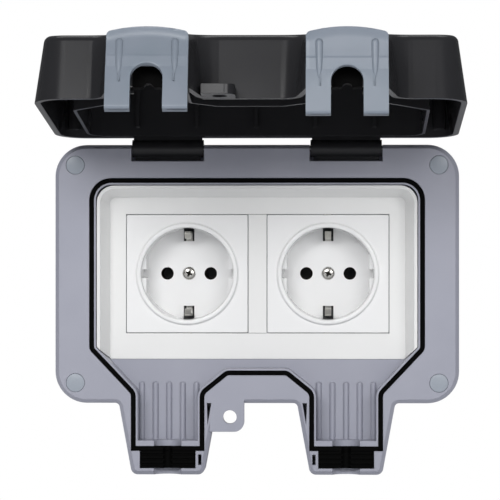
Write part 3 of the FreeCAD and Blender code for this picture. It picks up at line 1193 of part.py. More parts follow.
def make_lid():
    outer = new_body("lid_outer")
    rim = front(outer, "lid_outline", RIM)
    loop(rim, LID)
    pad(outer, "lid_block", rim, "lid_depth_top + lid_crown + 1", taper="0 - lid_draft")
    top = crown(outer, "lid_crown_cut", "0")
    doc.recompute()
    crowned = [edge for edge in range(len(top.Shape.Edges)) if is_front_edge(top.Shape, edge)]
    edge_round = outer.newObject("PartDesign::Fillet", "lid_edge")
    edge_round.Base = (top, ["Edge%d" % (edge + 1) for edge in crowned])
    tie(edge_round, "Radius", "lid_edge_round")
    cavity = new_body("lid_cavity")
    inner = front(cavity, "lid_cavity_outline", RIM)
    loop(inner, inset(LID, "lid_wall"))
    pad(cavity, "lid_cavity_block", inner, "lid_depth_top + lid_crown + 1",
        taper="0 - lid_draft")
    crown(cavity, "lid_cavity_cut", "lid_wall")
    shell = cut("lid_hollow", outer, cavity)
    walls = new_body("lid_tongue")
    line = front(walls, "lid_tongue_outline", RIM)
    loop(line, inset(SEAL, "seal_groove / 2 - tongue_wall / 2"))
    loop(line, inset(SEAL, "seal_groove / 2 + tongue_wall / 2"))
    pad(walls, "lid_tongue_wall", line, "lid_depth_top + lid_crown")
    stays = front(walls, "lid_stay_outline", RIM + " + lid_wall")
    for k in range(-2, 3):
        x = "%d * stay_pitch" % k
        loop(stays, box_corners(x + " - stay_sheet / 2",
                                "seal_top - seal_groove / 2 - stay_rise",
                                x + " + stay_sheet / 2", "seal_top - seal_groove / 2"))
    pad(walls, "lid_stays", stays, "lid_depth_top + lid_crown")
    inside = doc.addObject("Part::MultiCommon", "lid_inner_walls")
    inside.Shapes = [walls, outer]
    tip = new_body("lid_tongue_tip")
    edge = front(tip, "lid_tongue_tip_outline", GROOVE_FLOOR + " + seal_proud + tongue_gap")
    loop(edge, inset(SEAL, "seal_groove / 2 - tongue_wall / 2"))
    loop(edge, inset(SEAL, "seal_groove / 2 + tongue_wall / 2"))
    pad(tip, "lid_tongue_edge", edge,
        "lid_gap + seal_groove_depth - seal_proud - tongue_gap + 0.5")
    pieces = [shell, inside, tip]
    for name, side in SIDES:
        middle = "%d * funnel_centre" % side
        pieces.append(rod("lid_barrel_" + name, "across", "barrel_radius", "2 * barrel_half",
                          middle + " - barrel_half", HINGE_DEPTH, HINGE_HEIGHT))
        pieces.append(block("lid_arm_" + name, middle + " - barrel_half + arm_in",
                            middle + " + barrel_half - arm_in", HINGE_DEPTH,
                            RIM + " + lid_wall", TOP + " - 2 * lid_inset - arm_thick",
                            TOP + " - 2 * lid_inset"))
        pieces.append(block("lid_heel_" + name, middle + " - barrel_half + heel_in",
                            middle + " + barrel_half - heel_in", HINGE_DEPTH + " - heel_reach",
                            HINGE_DEPTH, HINGE_HEIGHT + " - heel_sheet / 2",
                            HINGE_HEIGHT + " + heel_sheet / 2"))
        pieces.append(rod("lid_post_" + name, "forward", "post_radius",
                          "lid_depth_top - post_short", "%d * %s" % (side, CORNER_X),
                          RIM + " + lid_wall", CORNER_Z))
        for sx in (-1, 1):
            ends = ["%s + %d * lug_near" % (middle, sx), "%s + %d * lug_far" % (middle, sx)]
            low, high = ends if sx > 0 else ends[::-1]
            tag = "%s_%d" % (name, sx + 1)
            pieces.append(rod("lid_lug_" + tag, "across", "lug_radius",
                              "lug_far - lug_near", low, "latch_pivot_depth", PIVOT_HEIGHT))
            pieces.append(block("lid_lug_web_" + tag, low, high,
                                "latch_pivot_depth - lug_radius",
                                "latch_pivot_depth + lug_radius", PIVOT_HEIGHT,
                                PIVOT_HEIGHT + " + lug_web"))
    pieces.append(make_lid_tab())
    whole = fuse("lid_whole", pieces)
    tools = []
    for name, side in SIDES:
        middle = "%d * funnel_centre" % side
        tools.append(rod("lid_bore_" + name, "across", "pin_radius + pin_play",
                         "2 * barrel_half + 2", middle + " - barrel_half - 1", HINGE_DEPTH,
                         HINGE_HEIGHT))
        tools.append(rod("lid_arch_" + name, "down", "cable_radius",
                         END + " - channel_end + 2", middle, RIM + " + 4",
                         "0 - channel_end + 1"))
        tools.append(block("lid_arch_foot_" + name, middle + " - cable_radius",
                           middle + " + cable_radius", "base_depth - 3", RIM + " + 4",
                           "0 - %s - 1" % END, "0 - channel_end + 1"))
        tools.append(rod("lid_latch_bore_" + name, "across", "latch_pin", "2 * lug_far + 2",
                         middle + " - lug_far - 1", "latch_pivot_depth", PIVOT_HEIGHT))
    tools.append(rod("lid_eye", "forward", "eye_radius", "tab_sheet + 3", "0 - eye_across",
                     RIM + " - 1", "0 - face_height / 2 - eye_drop"))
    lid = cut("lid_moulding", whole, fuse("lid_tools", tools))
    parted = part_off("lid_shell", lid,
                      zones(LID_CHANNEL_HALF, "(seal_end - seal_groove)", LID_GAP_CUT, False))
    tie(parted, "Placement", OPEN)
    return node(parted, "lid_shell")


def is_front_edge(shape, index):
    """True for an edge between the lid's crowned front and its walls."""
    edge = shape.Edges[index]
    crowned = 0
    for face in shape.Faces:
        if not any(edge.isSame(other) for other in face.Edges):
            continue
        if abs(face.normalAt(*middle_of(face)).y) > 0.9 and is_front(face):
            crowned += 1
    return crowned == 1


def middle_of(face):
    low_u, high_u, low_v, high_v = face.ParameterRange
    return (low_u + high_u) / 2, (low_v + high_v) / 2


def is_front(face):
    return face.BoundBox.YMin < -value(RIM) - value("lid_depth_end") / 2 and \
        face.Area > value("face_width") * value("face_height") / 2


def make_lid_tab():
    body = new_body("lid_tab")
    drawn = front(body, "lid_tab_outline", RIM)
    low = "0 - face_height / 2 - tab_drop"
    high = "0 - face_height / 2 + 3"
    loop(drawn, [("0 - tab_outer", high, "0"), ("0 - tab_outer", low, "0"),
                 ("0 - tab_inner", low, "tab_round"), ("0 - tab_inner", high, "0")])
    pad(body, "lid_tab_pad", drawn, "tab_sheet")
    return body


def make_latch(name, side, angle):
    """A toggle latch: a lever with a curved lip, a barrel on its pin and two hooked legs."""
    body = new_body(name)
    section = sketch(body, name + "_section", "YZ_Plane", "0")
    pivot = "latch_pivot_depth"
    foot = "(latch_pivot_depth - latch_leg)"
    tip = "(latch_pivot_depth + latch_lever)"
    out = PIVOT_HEIGHT
    inner_leg = "(0 - %s - hook_gap)" % END
    catch = "(base_depth - catch_lip - hook_gap)"
    loop(section, [
        ("0 - %s" % foot, inner_leg + " + catch_step - hook_short", "hook_gap"),
        ("0 - %s" % catch, inner_leg + " + catch_step - hook_short", "hook_gap"),
        ("0 - %s - hook_gap / 2" % catch, inner_leg, "hook_short"),
        ("0 - %s + 2 * latch_barrel" % pivot, out + " - latch_set", "lip_round"),
        ("0 - %s - 2 * latch_barrel" % pivot, out + " - latch_set", "2 * lip_round"),
        ("0 - %s + lip_rise" % tip, out + " - latch_set - latch_wedge", "lip_round"),
        ("0 - %s" % tip, out + " - latch_set - lip_rise", "hook_short"),
        ("0 - %s - latch_wedge" % tip, out + " - latch_set - lip_rise - lip_sheet",
         "latch_wedge"),
        ("0 - %s + lip_rise + latch_wedge" % tip, out + " - latch_set - lip_rise",
         "lip_round"),
        ("0 - %s" % pivot, out + " - latch_set - latch_sheet", "latch_sheet"),
        ("0 - %s" % foot, inner_leg + " - latch_sheet", "latch_sheet / 2"),
    ])
    pad(body, name + "_plate", section, "2 * latch_half", both=True)
    curve = "((pow(latch_half; 2) + pow(latch_crown; 2)) / (2 * latch_crown))"
    edge = sketch(body, name + "_lip_outline", "XY_Plane", out + " - 4 * latch_leg")
    loop(edge, box_corners("0 - 2 * " + curve, "0 - %s - latch_half" % tip,
                           "2 * " + curve, "0 - %s + 3 * %s" % (tip, curve)))
    ring(edge, "0", "%s - %s" % (curve, tip), curve)
    pocket(body, name + "_lip_curve", edge, "8 * latch_leg", ahead=True)
    barrel = sketch(body, name + "_barrel_outline", "YZ_Plane", "0")
    ring(barrel, "0 - %s" % pivot, out, "latch_barrel")
    pad(body, name + "_barrel", barrel, "2 * (latch_half - latch_barrel_in)", both=True)
    rooms = front(body, name + "_lug_room_outline", pivot + " + lug_radius + 2 * lug_play")
    for sx in (-1, 1):
        ends = ["%d * (lug_near - lug_play)" % sx, "%d * (lug_far + lug_play)" % sx]
        low, high = ends if sx > 0 else ends[::-1]
        loop(rooms, box_corners(low, out + " - lug_radius - lug_play", high,
                                out + " + 2 * latch_barrel"))
    pocket(body, name + "_lug_room", rooms, "2 * lug_radius + 4 * lug_play")
    below = out + " - 2 * latch_leg"
    arch = "(%s - notch_start - latch_notch)" % pivot
    notch = sketch(body, name + "_notch_outline", "XY_Plane", below)
    loop(notch, box_corners("0 - latch_notch", "0 - " + arch, "latch_notch",
                            "0 - %s + latch_sheet" % foot))
    pocket(body, name + "_notch", notch, "4 * latch_leg", ahead=True)
    crest = sketch(body, name + "_arch_outline", "XY_Plane", below)
    ring(crest, "0", "0 - " + arch, "latch_notch")
    pocket(body, name + "_arch", crest, "4 * latch_leg", ahead=True)
    ribs = sketch(body, name + "_rib_outline", "XY_Plane", out + " - latch_barrel")
    for sx in (-1, 1):
        x = "%d * latch_rib_across" % sx
        low = "0 - %s - latch_rib_ahead" % pivot
        high = "0 - %s + latch_rib_behind" % pivot
        loop(ribs, [(x + " - latch_rib_half", low, "latch_rib_half * 2 / 3"),
                    (x + " + latch_rib_half", low, "latch_rib_half * 2 / 3"),
                    (x + " + latch_rib_tip", high, "0"),
                    (x + " - latch_rib_tip", high, "0")])
    pad(body, name + "_ribs", ribs, "latch_set - latch_barrel + latch_sheet + latch_rib_rise",
        back=True)
    bore = sketch(body, name + "_bore_outline", "YZ_Plane", "0")
    ring(bore, "0 - %s" % pivot, out, "latch_pin + pin_play")
    pocket(body, name + "_bore", bore, "4 * latch_half", both=True)
    tie(body, "Placement", "%s * placement(vector(%d * funnel_centre; 0; 0);"
        " rotation(vector(1; 0; 0); 0 - %s); vector(0; 0 - %s; %s))"
        % (OPEN, side, angle, pivot, out))
    return node(body, name)


make_back_box()
make_ring("box_gasket", BOX, "0.2", "0.2 + gasket_width", "box_depth", "gasket_sheet")
make_frame()
make_seal()
for tag, side in SIDES:
    lower = make_gland("gland_" + tag, side, "gland_half - rubber_fit",
                       "gland_bottom - rubber_fit", "base_depth - gland_depth",
                       "base_depth - gland_drop", True)
    node(lower, "gland_" + tag)
make_bezel()
make_strip()
for tag, side in SIDES:
    make_strap("strap_" + tag, side)
    make_cover("socket_cover_" + tag, side)
    make_insert("insert_" + tag, side)
    make_earth_clip("earth_clip_" + tag, side)
    make_contact("live_contact_" + tag, side, 1)
    make_contact("neutral_contact_" + tag, side, -1)
make_screws()
for tag, side in SIDES:
    pin = rod("hinge_pin_%s_rod" % tag, "across", "pin_radius", "2 * pin_half",
              "%d * funnel_centre - pin_half" % side, HINGE_DEPTH, HINGE_HEIGHT)
    node(pin, "hinge_pin_" + tag)
make_lid()
for tag, side in SIDES:
    upper = make_gland("lid_gland_" + tag, side, "gland_half - gland_side",
                       "gland_bottom - gland_short", RIM + " + bezel_fit",
                       RIM + " + gland_depth - gland_drop - rubber_fit", False)
    tie(upper, "Placement", OPEN)
    node(upper, "lid_gland_" + tag)
    pin = rod("latch_pin_%s_rod" % tag, "across", "latch_pin",
              "2 * (latch_half - latch_barrel_in)",
              "%d * funnel_centre - latch_half + latch_barrel_in" % side, "latch_pivot_depth",
              PIVOT_HEIGHT)
    held = group("latch_pin_%s_set" % tag, [pin])
    tie(held, "Placement", OPEN)
    node(held, "latch_pin_" + tag)
make_latch("latch_left", -1, "left_latch_angle")
make_latch("latch_right", 1, "right_latch_angle")

doc.recompute()

failed = [thing.Name for thing in doc.Objects
          if "Invalid" in thing.State or "Error" in thing.State]
if failed:
    raise RuntimeError("failed objects: %s" % ", ".join(failed))
os.makedirs("parts", exist_ok=True)
for piece in NODES:
    shape = piece.Shape
    if shape.isNull() or not shape.isValid():
        raise RuntimeError("bad shape: " + piece.Label)
    shape.exportStep("parts/%s.step" % piece.Label)
    print("%-22s %d solids %9.0f mm3" % (piece.Label, len(shape.Solids), shape.Volume))
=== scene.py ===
# %% [markdown]
# # An outdoor double socket with its lid open
# The real object is a box for a garden or workshop wall. A grey frame holds two white earthed
# sockets, a black lid swings down over them, and two grey toggle latches pull the lid onto a rubber
# seal. The hard shapes come from a CAD model. This notebook gives each of them its finish, and
# models the parts whose soft curves CAD doesn't show: the latches, the screw heads and caps, and
# the ends of the ribs.

# %% Load the CAD model
import math
import bmesh
import bpy
from mathutils import Matrix, Vector
from mathutils.bvhtree import BVHTree


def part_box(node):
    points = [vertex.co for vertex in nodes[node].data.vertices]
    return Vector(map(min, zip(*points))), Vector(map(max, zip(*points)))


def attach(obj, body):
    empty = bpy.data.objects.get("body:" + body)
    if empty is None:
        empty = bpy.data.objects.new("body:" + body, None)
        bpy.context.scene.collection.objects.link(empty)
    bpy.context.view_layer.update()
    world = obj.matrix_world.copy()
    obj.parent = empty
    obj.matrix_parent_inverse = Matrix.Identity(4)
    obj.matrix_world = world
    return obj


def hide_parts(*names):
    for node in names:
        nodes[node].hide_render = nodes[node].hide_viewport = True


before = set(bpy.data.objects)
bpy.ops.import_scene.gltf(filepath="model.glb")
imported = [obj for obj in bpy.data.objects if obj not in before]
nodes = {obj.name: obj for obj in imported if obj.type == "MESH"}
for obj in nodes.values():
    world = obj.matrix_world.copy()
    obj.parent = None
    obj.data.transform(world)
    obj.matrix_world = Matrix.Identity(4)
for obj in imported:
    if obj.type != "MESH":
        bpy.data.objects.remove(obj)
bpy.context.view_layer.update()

# %% [markdown]
# ## From a shape to a piece
# Blender keeps a shape as a mesh, and shows it through an object. CAD adds a third idea: a piece
# rides on a body, which a joint may turn, and it can stand for a CAD node. The four helpers here do
# these steps once, so that every cell below is only about its own shape.

# %% Helpers for meshes and objects
MM = 0.001


def put(name, data):
    """A new object of the scene."""
    made = bpy.data.objects.new(name, data)
    bpy.context.scene.collection.objects.link(made)
    return made


def mesh_of(name, shape, finish):
    """A mesh with one finish from a bmesh, which is freed."""
    mesh = bpy.data.meshes.new(name)
    shape.to_mesh(mesh)
    shape.free()
    mesh.materials.clear()
    mesh.materials.append(finish)
    return mesh


def smooth(mesh, degrees):
    """Smooth shading, with hard edges where faces meet at more than an angle."""
    mesh.shade_smooth()
    mesh.set_sharp_from_angle(angle=math.radians(degrees))


def piece_of(name, mesh, body, node=None):
    """A piece that rides on a body and may stand for a CAD node."""
    piece = put(name, mesh)
    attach(piece, body)
    if node:
        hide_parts(node)


print("one millimetre is", MM, "m")

# %% [markdown]
# ## Camera
# The photograph was taken from far away, nearly straight from the front, with a long lens. A long
# lens keeps the frame's sides parallel, so the depth of the object hardly shows. We could tilt the
# camera to centre the object, but that would bend upright lines. Placing it level, at the height of
# the picture's middle, keeps them upright.

# %% Camera
FRAME_DEPTH = 50.0            # wall to the front of the frame, mm
VIEW_ACROSS = -2.9            # what the picture's middle shows, mm
VIEW_HEIGHT = 10.2
VIEW_DISTANCE = 1250.0
VIEW_TURN = math.radians(1.7)
FOCAL_PIXELS = 2937.0
PHOTO_PIXELS = 500.0
SENSOR = 36.0

camera = put("camera", bpy.data.cameras.new("camera"))
target = Vector((VIEW_ACROSS, -FRAME_DEPTH, VIEW_HEIGHT)) * MM
towards = Vector((math.sin(VIEW_TURN), -math.cos(VIEW_TURN), 0.0))
camera.location = target + towards * VIEW_DISTANCE * MM
camera.rotation_euler = (-towards).to_track_quat("-Z", "Y").to_euler()
camera.data.sensor_width = SENSOR
camera.data.lens = SENSOR * FOCAL_PIXELS / PHOTO_PIXELS
bpy.context.scene.camera = camera
print("lens", round(camera.data.lens, 1), "mm")

# %% [markdown]
# ## One helper for nodes
# Every material below is a small graph of nodes. Writing each link by hand gets long, so one
# function adds a node, sets its properties and either links or fills its sockets.

# %% Node helper and colours
def add(tree, kind, sockets=None, **settings):
    """Adds a node; a socket is filled with a value or fed from another node's output."""
    node = tree.nodes.new(kind)
    for name, setting in settings.items():
        setattr(node, name, setting)
    for name, feed in (sockets or {}).items():
        if isinstance(feed, bpy.types.NodeSocket):
            tree.links.new(feed, node.inputs[name])
        else:
            node.inputs[name].default_value = feed
    return node


def linear(hex_colour):
    """An sRGB hex colour as linear red, green, blue and alpha, by the curve of that standard."""
    parts = [int(hex_colour[i:i + 2], 16) / 255 for i in (1, 3, 5)]
    bent = [p / 12.92 if p <= 0.04045 else ((p + 0.055) / 1.055) ** 2.4 for p in parts]
    return (*bent, 1.0)


print("mid grey", [round(part, 3) for part in linear("#808080")])

# %% [markdown]
# ## Floor, backdrop and light
# A catalogue picture has a white ground and large soft lamps. The white must not come from more
# light on the object, or its pale plastics would burn out. So the world is white only where the
# camera sees it, straight or through something clear, and gives a weak grey light to everything
# else. The floor is white to the camera too, and plain paper to the light of the object.

# %% World
WORLD_LIGHT = 0.17

world = bpy.data.worlds.new("studio")
bpy.context.scene.world = world
world.use_nodes = True
sky = world.node_tree
sky.nodes.clear()
rays = add(sky, "ShaderNodeLightPath")
seen = add(sky, "ShaderNodeMath", {0: rays.outputs["Is Camera Ray"],
                                   1: rays.outputs["Is Transmission Ray"]},
           operation="MAXIMUM")
plain = add(sky, "ShaderNodeBackground", {"Color": linear("#F4F6FA"), "Strength": WORLD_LIGHT})
white = add(sky, "ShaderNodeBackground", {"Color": linear("#FFFFFF"), "Strength": 1.0})
mix = add(sky, "ShaderNodeMixShader", {0: seen.outputs[0], 1: plain.outputs[0],
                                       2: white.outputs[0]})
add(sky, "ShaderNodeOutputWorld", {"Surface": mix.outputs[0]})
bpy.context.scene.view_settings.view_transform = "Standard"
print("world light", WORLD_LIGHT)

# %% Floor
FLOOR_DROP = 0.13             # floor below the middle of the sockets, m
FLOOR_HALF = 4.0

paper = bpy.data.materials.new("white_paper")
paper.use_nodes = True
tree = paper.node_tree
tree.nodes.clear()
rays = add(tree, "ShaderNodeLightPath")
matt = add(tree, "ShaderNodeBsdfDiffuse", {"Color": linear("#E9EAEC")})
glow = add(tree, "ShaderNodeEmission", {"Color": linear("#FFFFFF"), "Strength": 1.0})
mix = add(tree, "ShaderNodeMixShader", {0: rays.outputs["Is Camera Ray"], 1: matt.outputs[0],
                                        2: glow.outputs[0]})
add(tree, "ShaderNodeOutputMaterial", {"Surface": mix.outputs[0]})
shape = bmesh.new()
bmesh.ops.create_grid(shape, x_segments=1, y_segments=1, size=FLOOR_HALF)
bmesh.ops.translate(shape, verts=shape.verts, vec=(0.0, 0.0, -FLOOR_DROP))
floor = put("studio_floor", mesh_of("studio_floor", shape, paper))
print("floor at", -FLOOR_DROP)

# %% Lamps
LAMPS = (                     # name, place and aim in m, width, height, watts
    ("key_lamp", (-0.3, -1.25, 0.46), (0.0, -0.05, 0.0), 0.6, 0.35, 8.9),
    ("fill_lamp", (0.5, -1.3, 0.38), (0.0, -0.05, 0.0), 0.6, 0.35, 5.8),
    ("top_lamp", (0.0, 0.15, 0.95), (0.0, -0.1, 0.0), 0.9, 0.35, 4.0),
)

for name, place, aim, width, height, watts in LAMPS:
    light = bpy.data.lights.new(name, "AREA")
    light.shape = "RECTANGLE"
    light.size = width
    light.size_y = height
    light.energy = watts
    lamp = put(name, light)
    lamp.location = place
    lamp.rotation_euler = (Vector(aim) - Vector(place)).to_track_quat("-Z", "Y").to_euler()
print("soft lamps:", len(LAMPS))

# %% [markdown]
# ## Plastics
# Nearly all of the object is injection moulded. What tells one plastic from another is not only its
# colour: grey ABS from an eroded mould has a fine satin grain, white polycarbonate from a polished
# mould is smooth and glossy, and the black lid is finely eroded and aged. An IOR near 1.54 reflects
# about 5 % at the front; an aged face scatters part of that, so its specular level is lower. The
# edges of a moulding are never quite sharp. A Bevel node rounds the shading there by a fraction of
# a millimetre, so edges catch the light.

# %% Moulded plastic
GLOSS_FROM, GLOSS_TO = 0.9, 1.12      # how far the roughness drifts along with the colour


def start(name):
    """A new material and its graph, with coordinates in metres on the piece itself."""
    made = bpy.data.materials.new(name)
    made.use_nodes = True
    graph = made.node_tree
    graph.nodes.clear()
    return made, graph, add(graph, "ShaderNodeTexCoord").outputs["Object"]


def moulded(name, colour, tint, rough, grain_mm, depth_mm, edge_mm, ior=1.54, swirl_mm=30.0,
            shine=0.5):
    """Moulded plastic: slight colour drift, a mould grain and softened edges."""
    made, graph, place = start(name)
    drift = add(graph, "ShaderNodeTexNoise", {"Vector": place, "Scale": 1 / (swirl_mm * MM),
                                              "Detail": 2.0})
    colours = add(graph, "ShaderNodeMix", {0: drift.outputs["Fac"], 6: linear(colour),
                                           7: linear(tint)}, data_type="RGBA")
    grain = add(graph, "ShaderNodeTexNoise", {"Vector": place, "Scale": 1 / (grain_mm * MM),
                                              "Detail": 3.0, "Roughness": 0.6})
    gloss = add(graph, "ShaderNodeMapRange", {"Value": drift.outputs["Fac"],
                                              "To Min": rough * GLOSS_FROM,
                                              "To Max": rough * GLOSS_TO})
    edge = add(graph, "ShaderNodeBevel", {"Radius": edge_mm * MM}, samples=4)
    relief = add(graph, "ShaderNodeBump", {"Height": grain.outputs["Fac"], "Strength": 1.0,
                                           "Distance": depth_mm * MM,
                                           "Normal": edge.outputs["Normal"]})
    shader = add(graph, "ShaderNodeBsdfPrincipled", {"Base Color": colours.outputs[2],
                                                     "Roughness": gloss.outputs["Result"],
                                                     "Normal": relief.outputs["Normal"],
                                                     "Specular IOR Level": shine,
                                                     "IOR": ior})
    add(graph, "ShaderNodeOutputMaterial", {"Surface": shader.outputs[0]})
    return made


# Grain is drawn about twice as coarse as the real 0.15 mm, so that it shows at this distance.
grey_abs = moulded("abs_grey_eroded_mould", "#9496A3", "#A0A1AD", rough=0.36, grain_mm=0.35,
                   depth_mm=0.012, edge_mm=0.4)
box_abs = moulded("abs_grey_back_box", "#9C9DAA", "#A7A8B5", rough=0.45, grain_mm=0.5,
                  depth_mm=0.03, edge_mm=0.35)
# A wide edge would darken the line where a latch's ribs meet its plate, so this one is narrow.
latch_abs = moulded("abs_grey_latch_satin", "#707A84", "#7F8590", rough=0.34, grain_mm=0.35,
                    depth_mm=0.008, edge_mm=0.06, swirl_mm=18.0, shine=0.25)
cap_abs = moulded("abs_grey_screw_cap", "#8E959F", "#9AA1AB", rough=0.36, grain_mm=0.35,
                  depth_mm=0.012, edge_mm=0.2)
# The black lid is finely eroded and old, so it mirrors far less than a fresh polished face.
lid_abs = moulded("abs_black_eroded_mould", "#252527", "#2A2A2C", rough=0.25, grain_mm=0.6,
                  depth_mm=0.006, edge_mm=0.35, swirl_mm=25.0, shine=0.18)
white_pc = moulded("polycarbonate_white_polished_mould", "#E6E6E5", "#EDEDEC", rough=0.16,
                   grain_mm=1.2, depth_mm=0.004, edge_mm=0.3, ior=1.585, swirl_mm=40.0)
white_cover = moulded("urea_resin_white_polished_mould", "#E9E9E9", "#EEEEEE", rough=0.22,
                      grain_mm=0.8, depth_mm=0.004, edge_mm=0.25, ior=1.6, swirl_mm=40.0)
insert_pa = moulded("polyamide_dark_grey_insert", "#2B2C2E", "#343537", rough=0.5, grain_mm=0.3,
                    depth_mm=0.02, edge_mm=0.2, ior=1.53, swirl_mm=15.0)
print("plastics:", [m.name for m in (grey_abs, box_abs, latch_abs, cap_abs, lid_abs, white_pc,
                                     white_cover, insert_pa)])

# %% [markdown]
# ## Rubber
# The seal, gasket and cable glands are EPDM rubber pressed in a matt mould. It is nearly black,
# hardly reflects, and has a faint grey bloom. That is a rough surface with a weak second colour
# spread by noise, and not a darker plastic.

# %% Rubber
BLOOM_SCALE = 260.0           # per metre: patches nearly 4 mm across
MATT_SCALE = 2500.0           # per metre: a mould grain of 0.4 mm
RUBBER_EDGE = 0.3             # mm
RUBBER_DEPTH = 0.03           # mm


def pressed_rubber(name):
    """Matt rubber: bloom in patches, a fine grain and hardly any reflection."""
    made, graph, place = start(name)
    bloom = add(graph, "ShaderNodeTexNoise", {"Vector": place, "Scale": BLOOM_SCALE,
                                              "Detail": 5.0})
    colours = add(graph, "ShaderNodeMix", {0: bloom.outputs["Fac"], 6: linear("#010101"),
                                           7: linear("#030303")}, data_type="RGBA")
    skin = add(graph, "ShaderNodeTexNoise", {"Vector": place, "Scale": MATT_SCALE,
                                             "Detail": 2.0})
    edge = add(graph, "ShaderNodeBevel", {"Radius": RUBBER_EDGE * MM}, samples=4)
    relief = add(graph, "ShaderNodeBump", {"Height": skin.outputs["Fac"], "Strength": 1.0,
                                           "Distance": RUBBER_DEPTH * MM,
                                           "Normal": edge.outputs["Normal"]})
    shader = add(graph, "ShaderNodeBsdfPrincipled", {"Base Color": colours.outputs[2],
                                                     "Roughness": 0.6,
                                                     "Specular IOR Level": 0.04,
                                                     "Normal": relief.outputs["Normal"],
                                                     "IOR": 1.5})
    add(graph, "ShaderNodeOutputMaterial", {"Surface": shader.outputs[0]})
    return made


rubber = pressed_rubber("epdm_rubber_matt_mould")
print(rubber.name)

# %% [markdown]
# ## Metals
# Screws are nickel plated and finely marked all over. The straps are zinc plated sheet with a faint
# crystal pattern. The earth clips are plated spring brass, rolled, so their scratches run along the
# strip, and the other contacts are bare brass gone brown, darkened further by painted shade. A
# metal
# has no diffuse colour: its look is its reflection, and what differs is the tint, the roughness and
# the way the scratches run.

# %% Metals
METAL_EDGE = 0.15             # mm
SCRATCH_FROM, SCRATCH_TO = 0.7, 1.3   # how far the roughness drifts from line to line


def metal(name, colour, worn, rough, grain_mm, depth_mm, stretch=(1.0, 1.0, 1.0)):
    """Marked metal; stretch scales the pattern along X, Y and Z, so above 1 it gets finer."""
    made, graph, place = start(name)
    aligned = add(graph, "ShaderNodeMapping", {"Vector": place, "Scale": stretch})
    lines = add(graph, "ShaderNodeTexNoise", {"Vector": aligned.outputs[0],
                                              "Scale": 1 / (grain_mm * MM), "Detail": 4.0})
    colours = add(graph, "ShaderNodeMix", {0: lines.outputs["Fac"], 6: linear(colour),
                                           7: linear(worn)}, data_type="RGBA")
    gloss = add(graph, "ShaderNodeMapRange", {"Value": lines.outputs["Fac"],
                                              "To Min": rough * SCRATCH_FROM,
                                              "To Max": rough * SCRATCH_TO})
    edge = add(graph, "ShaderNodeBevel", {"Radius": METAL_EDGE * MM}, samples=4)
    relief = add(graph, "ShaderNodeBump", {"Height": lines.outputs["Fac"], "Strength": 1.0,
                                           "Distance": depth_mm * MM,
                                           "Normal": edge.outputs["Normal"]})
    shader = add(graph, "ShaderNodeBsdfPrincipled", {"Base Color": colours.outputs[2],
                                                     "Metallic": 1.0,
                                                     "Roughness": gloss.outputs["Result"],
                                                     "Normal": relief.outputs["Normal"]})
    add(graph, "ShaderNodeOutputMaterial", {"Surface": shader.outputs[0]})
    return made


nickel_screw = metal("steel_nickel_plated_turned", "#D2D0CB", "#A9A7A3", rough=0.28,
                     grain_mm=0.4, depth_mm=0.02)
zinc_sheet = metal("steel_zinc_plated_sheet", "#B9BCC0", "#9A9DA1", rough=0.42, grain_mm=2.5,
                   depth_mm=0.01)
# The recess's walls get a dark, dull steel: painted shade, standing in for the shade deep in the
# recess.
recess_painted_shade = metal("steel_recess_painted_shade", "#34332F", "#1C1B19", rough=0.6, grain_mm=0.5,
                    depth_mm=0.02)
spring_brass = metal("brass_nickel_plated_rolled", "#DEDDD8", "#BDBBB6", rough=0.30,
                     grain_mm=1.2, depth_mm=0.01, stretch=(6.0, 1.0, 1.0))
# Pin hole sleeves: brass gone brown, darkened further by painted shade, so the holes look black.
brass_oxide_and_shade = metal("brass_oxidised_painted_shade", "#2B2620", "#1D1A16", rough=0.55, grain_mm=0.8,
                   depth_mm=0.01, stretch=(1.0, 4.0, 1.0))
wire_pin = metal("steel_drawn_wire", "#B4B4B4", "#8E8E8E", rough=0.25, grain_mm=0.6,
                 depth_mm=0.01, stretch=(0.2, 3.0, 3.0))
print("metals:", [m.name for m in (nickel_screw, zinc_sheet, recess_painted_shade, spring_brass,
                                   brass_oxide_and_shade, wire_pin)])

# %% [markdown]
# ## One skin for each moulding
# The frame, the lid and each socket cover are single mouldings, but their CAD solids are parted
# into touching blocks, which a physics engine likes better. The faces where two blocks touch would
# show as fine lines. We could hide them with a shader, but deleting them is cleaner: wherever two
# faces lie on each other and look opposite ways, both go. What is left is the moulding's skin. Its
# shading normals come from CAD's true curves, so we hand them over corner by corner. A face counts
# as covered only if its middle and the spots near its corners are all covered.

# %% Skin of a parted moulding
TOUCH = 0.00002               # faces nearer than this lie on each other, m
NEAR_CORNER = 0.9             # how far from a face's middle to its corner a spot is tested
OPPOSITE = -0.99              # cosine of the angle between two faces that look opposite ways
COVER_EASE = (0.2, 0.2)       # how much a cover's sides and ends stand back, mm
CLIP_EASE = (0.55, 0.0)


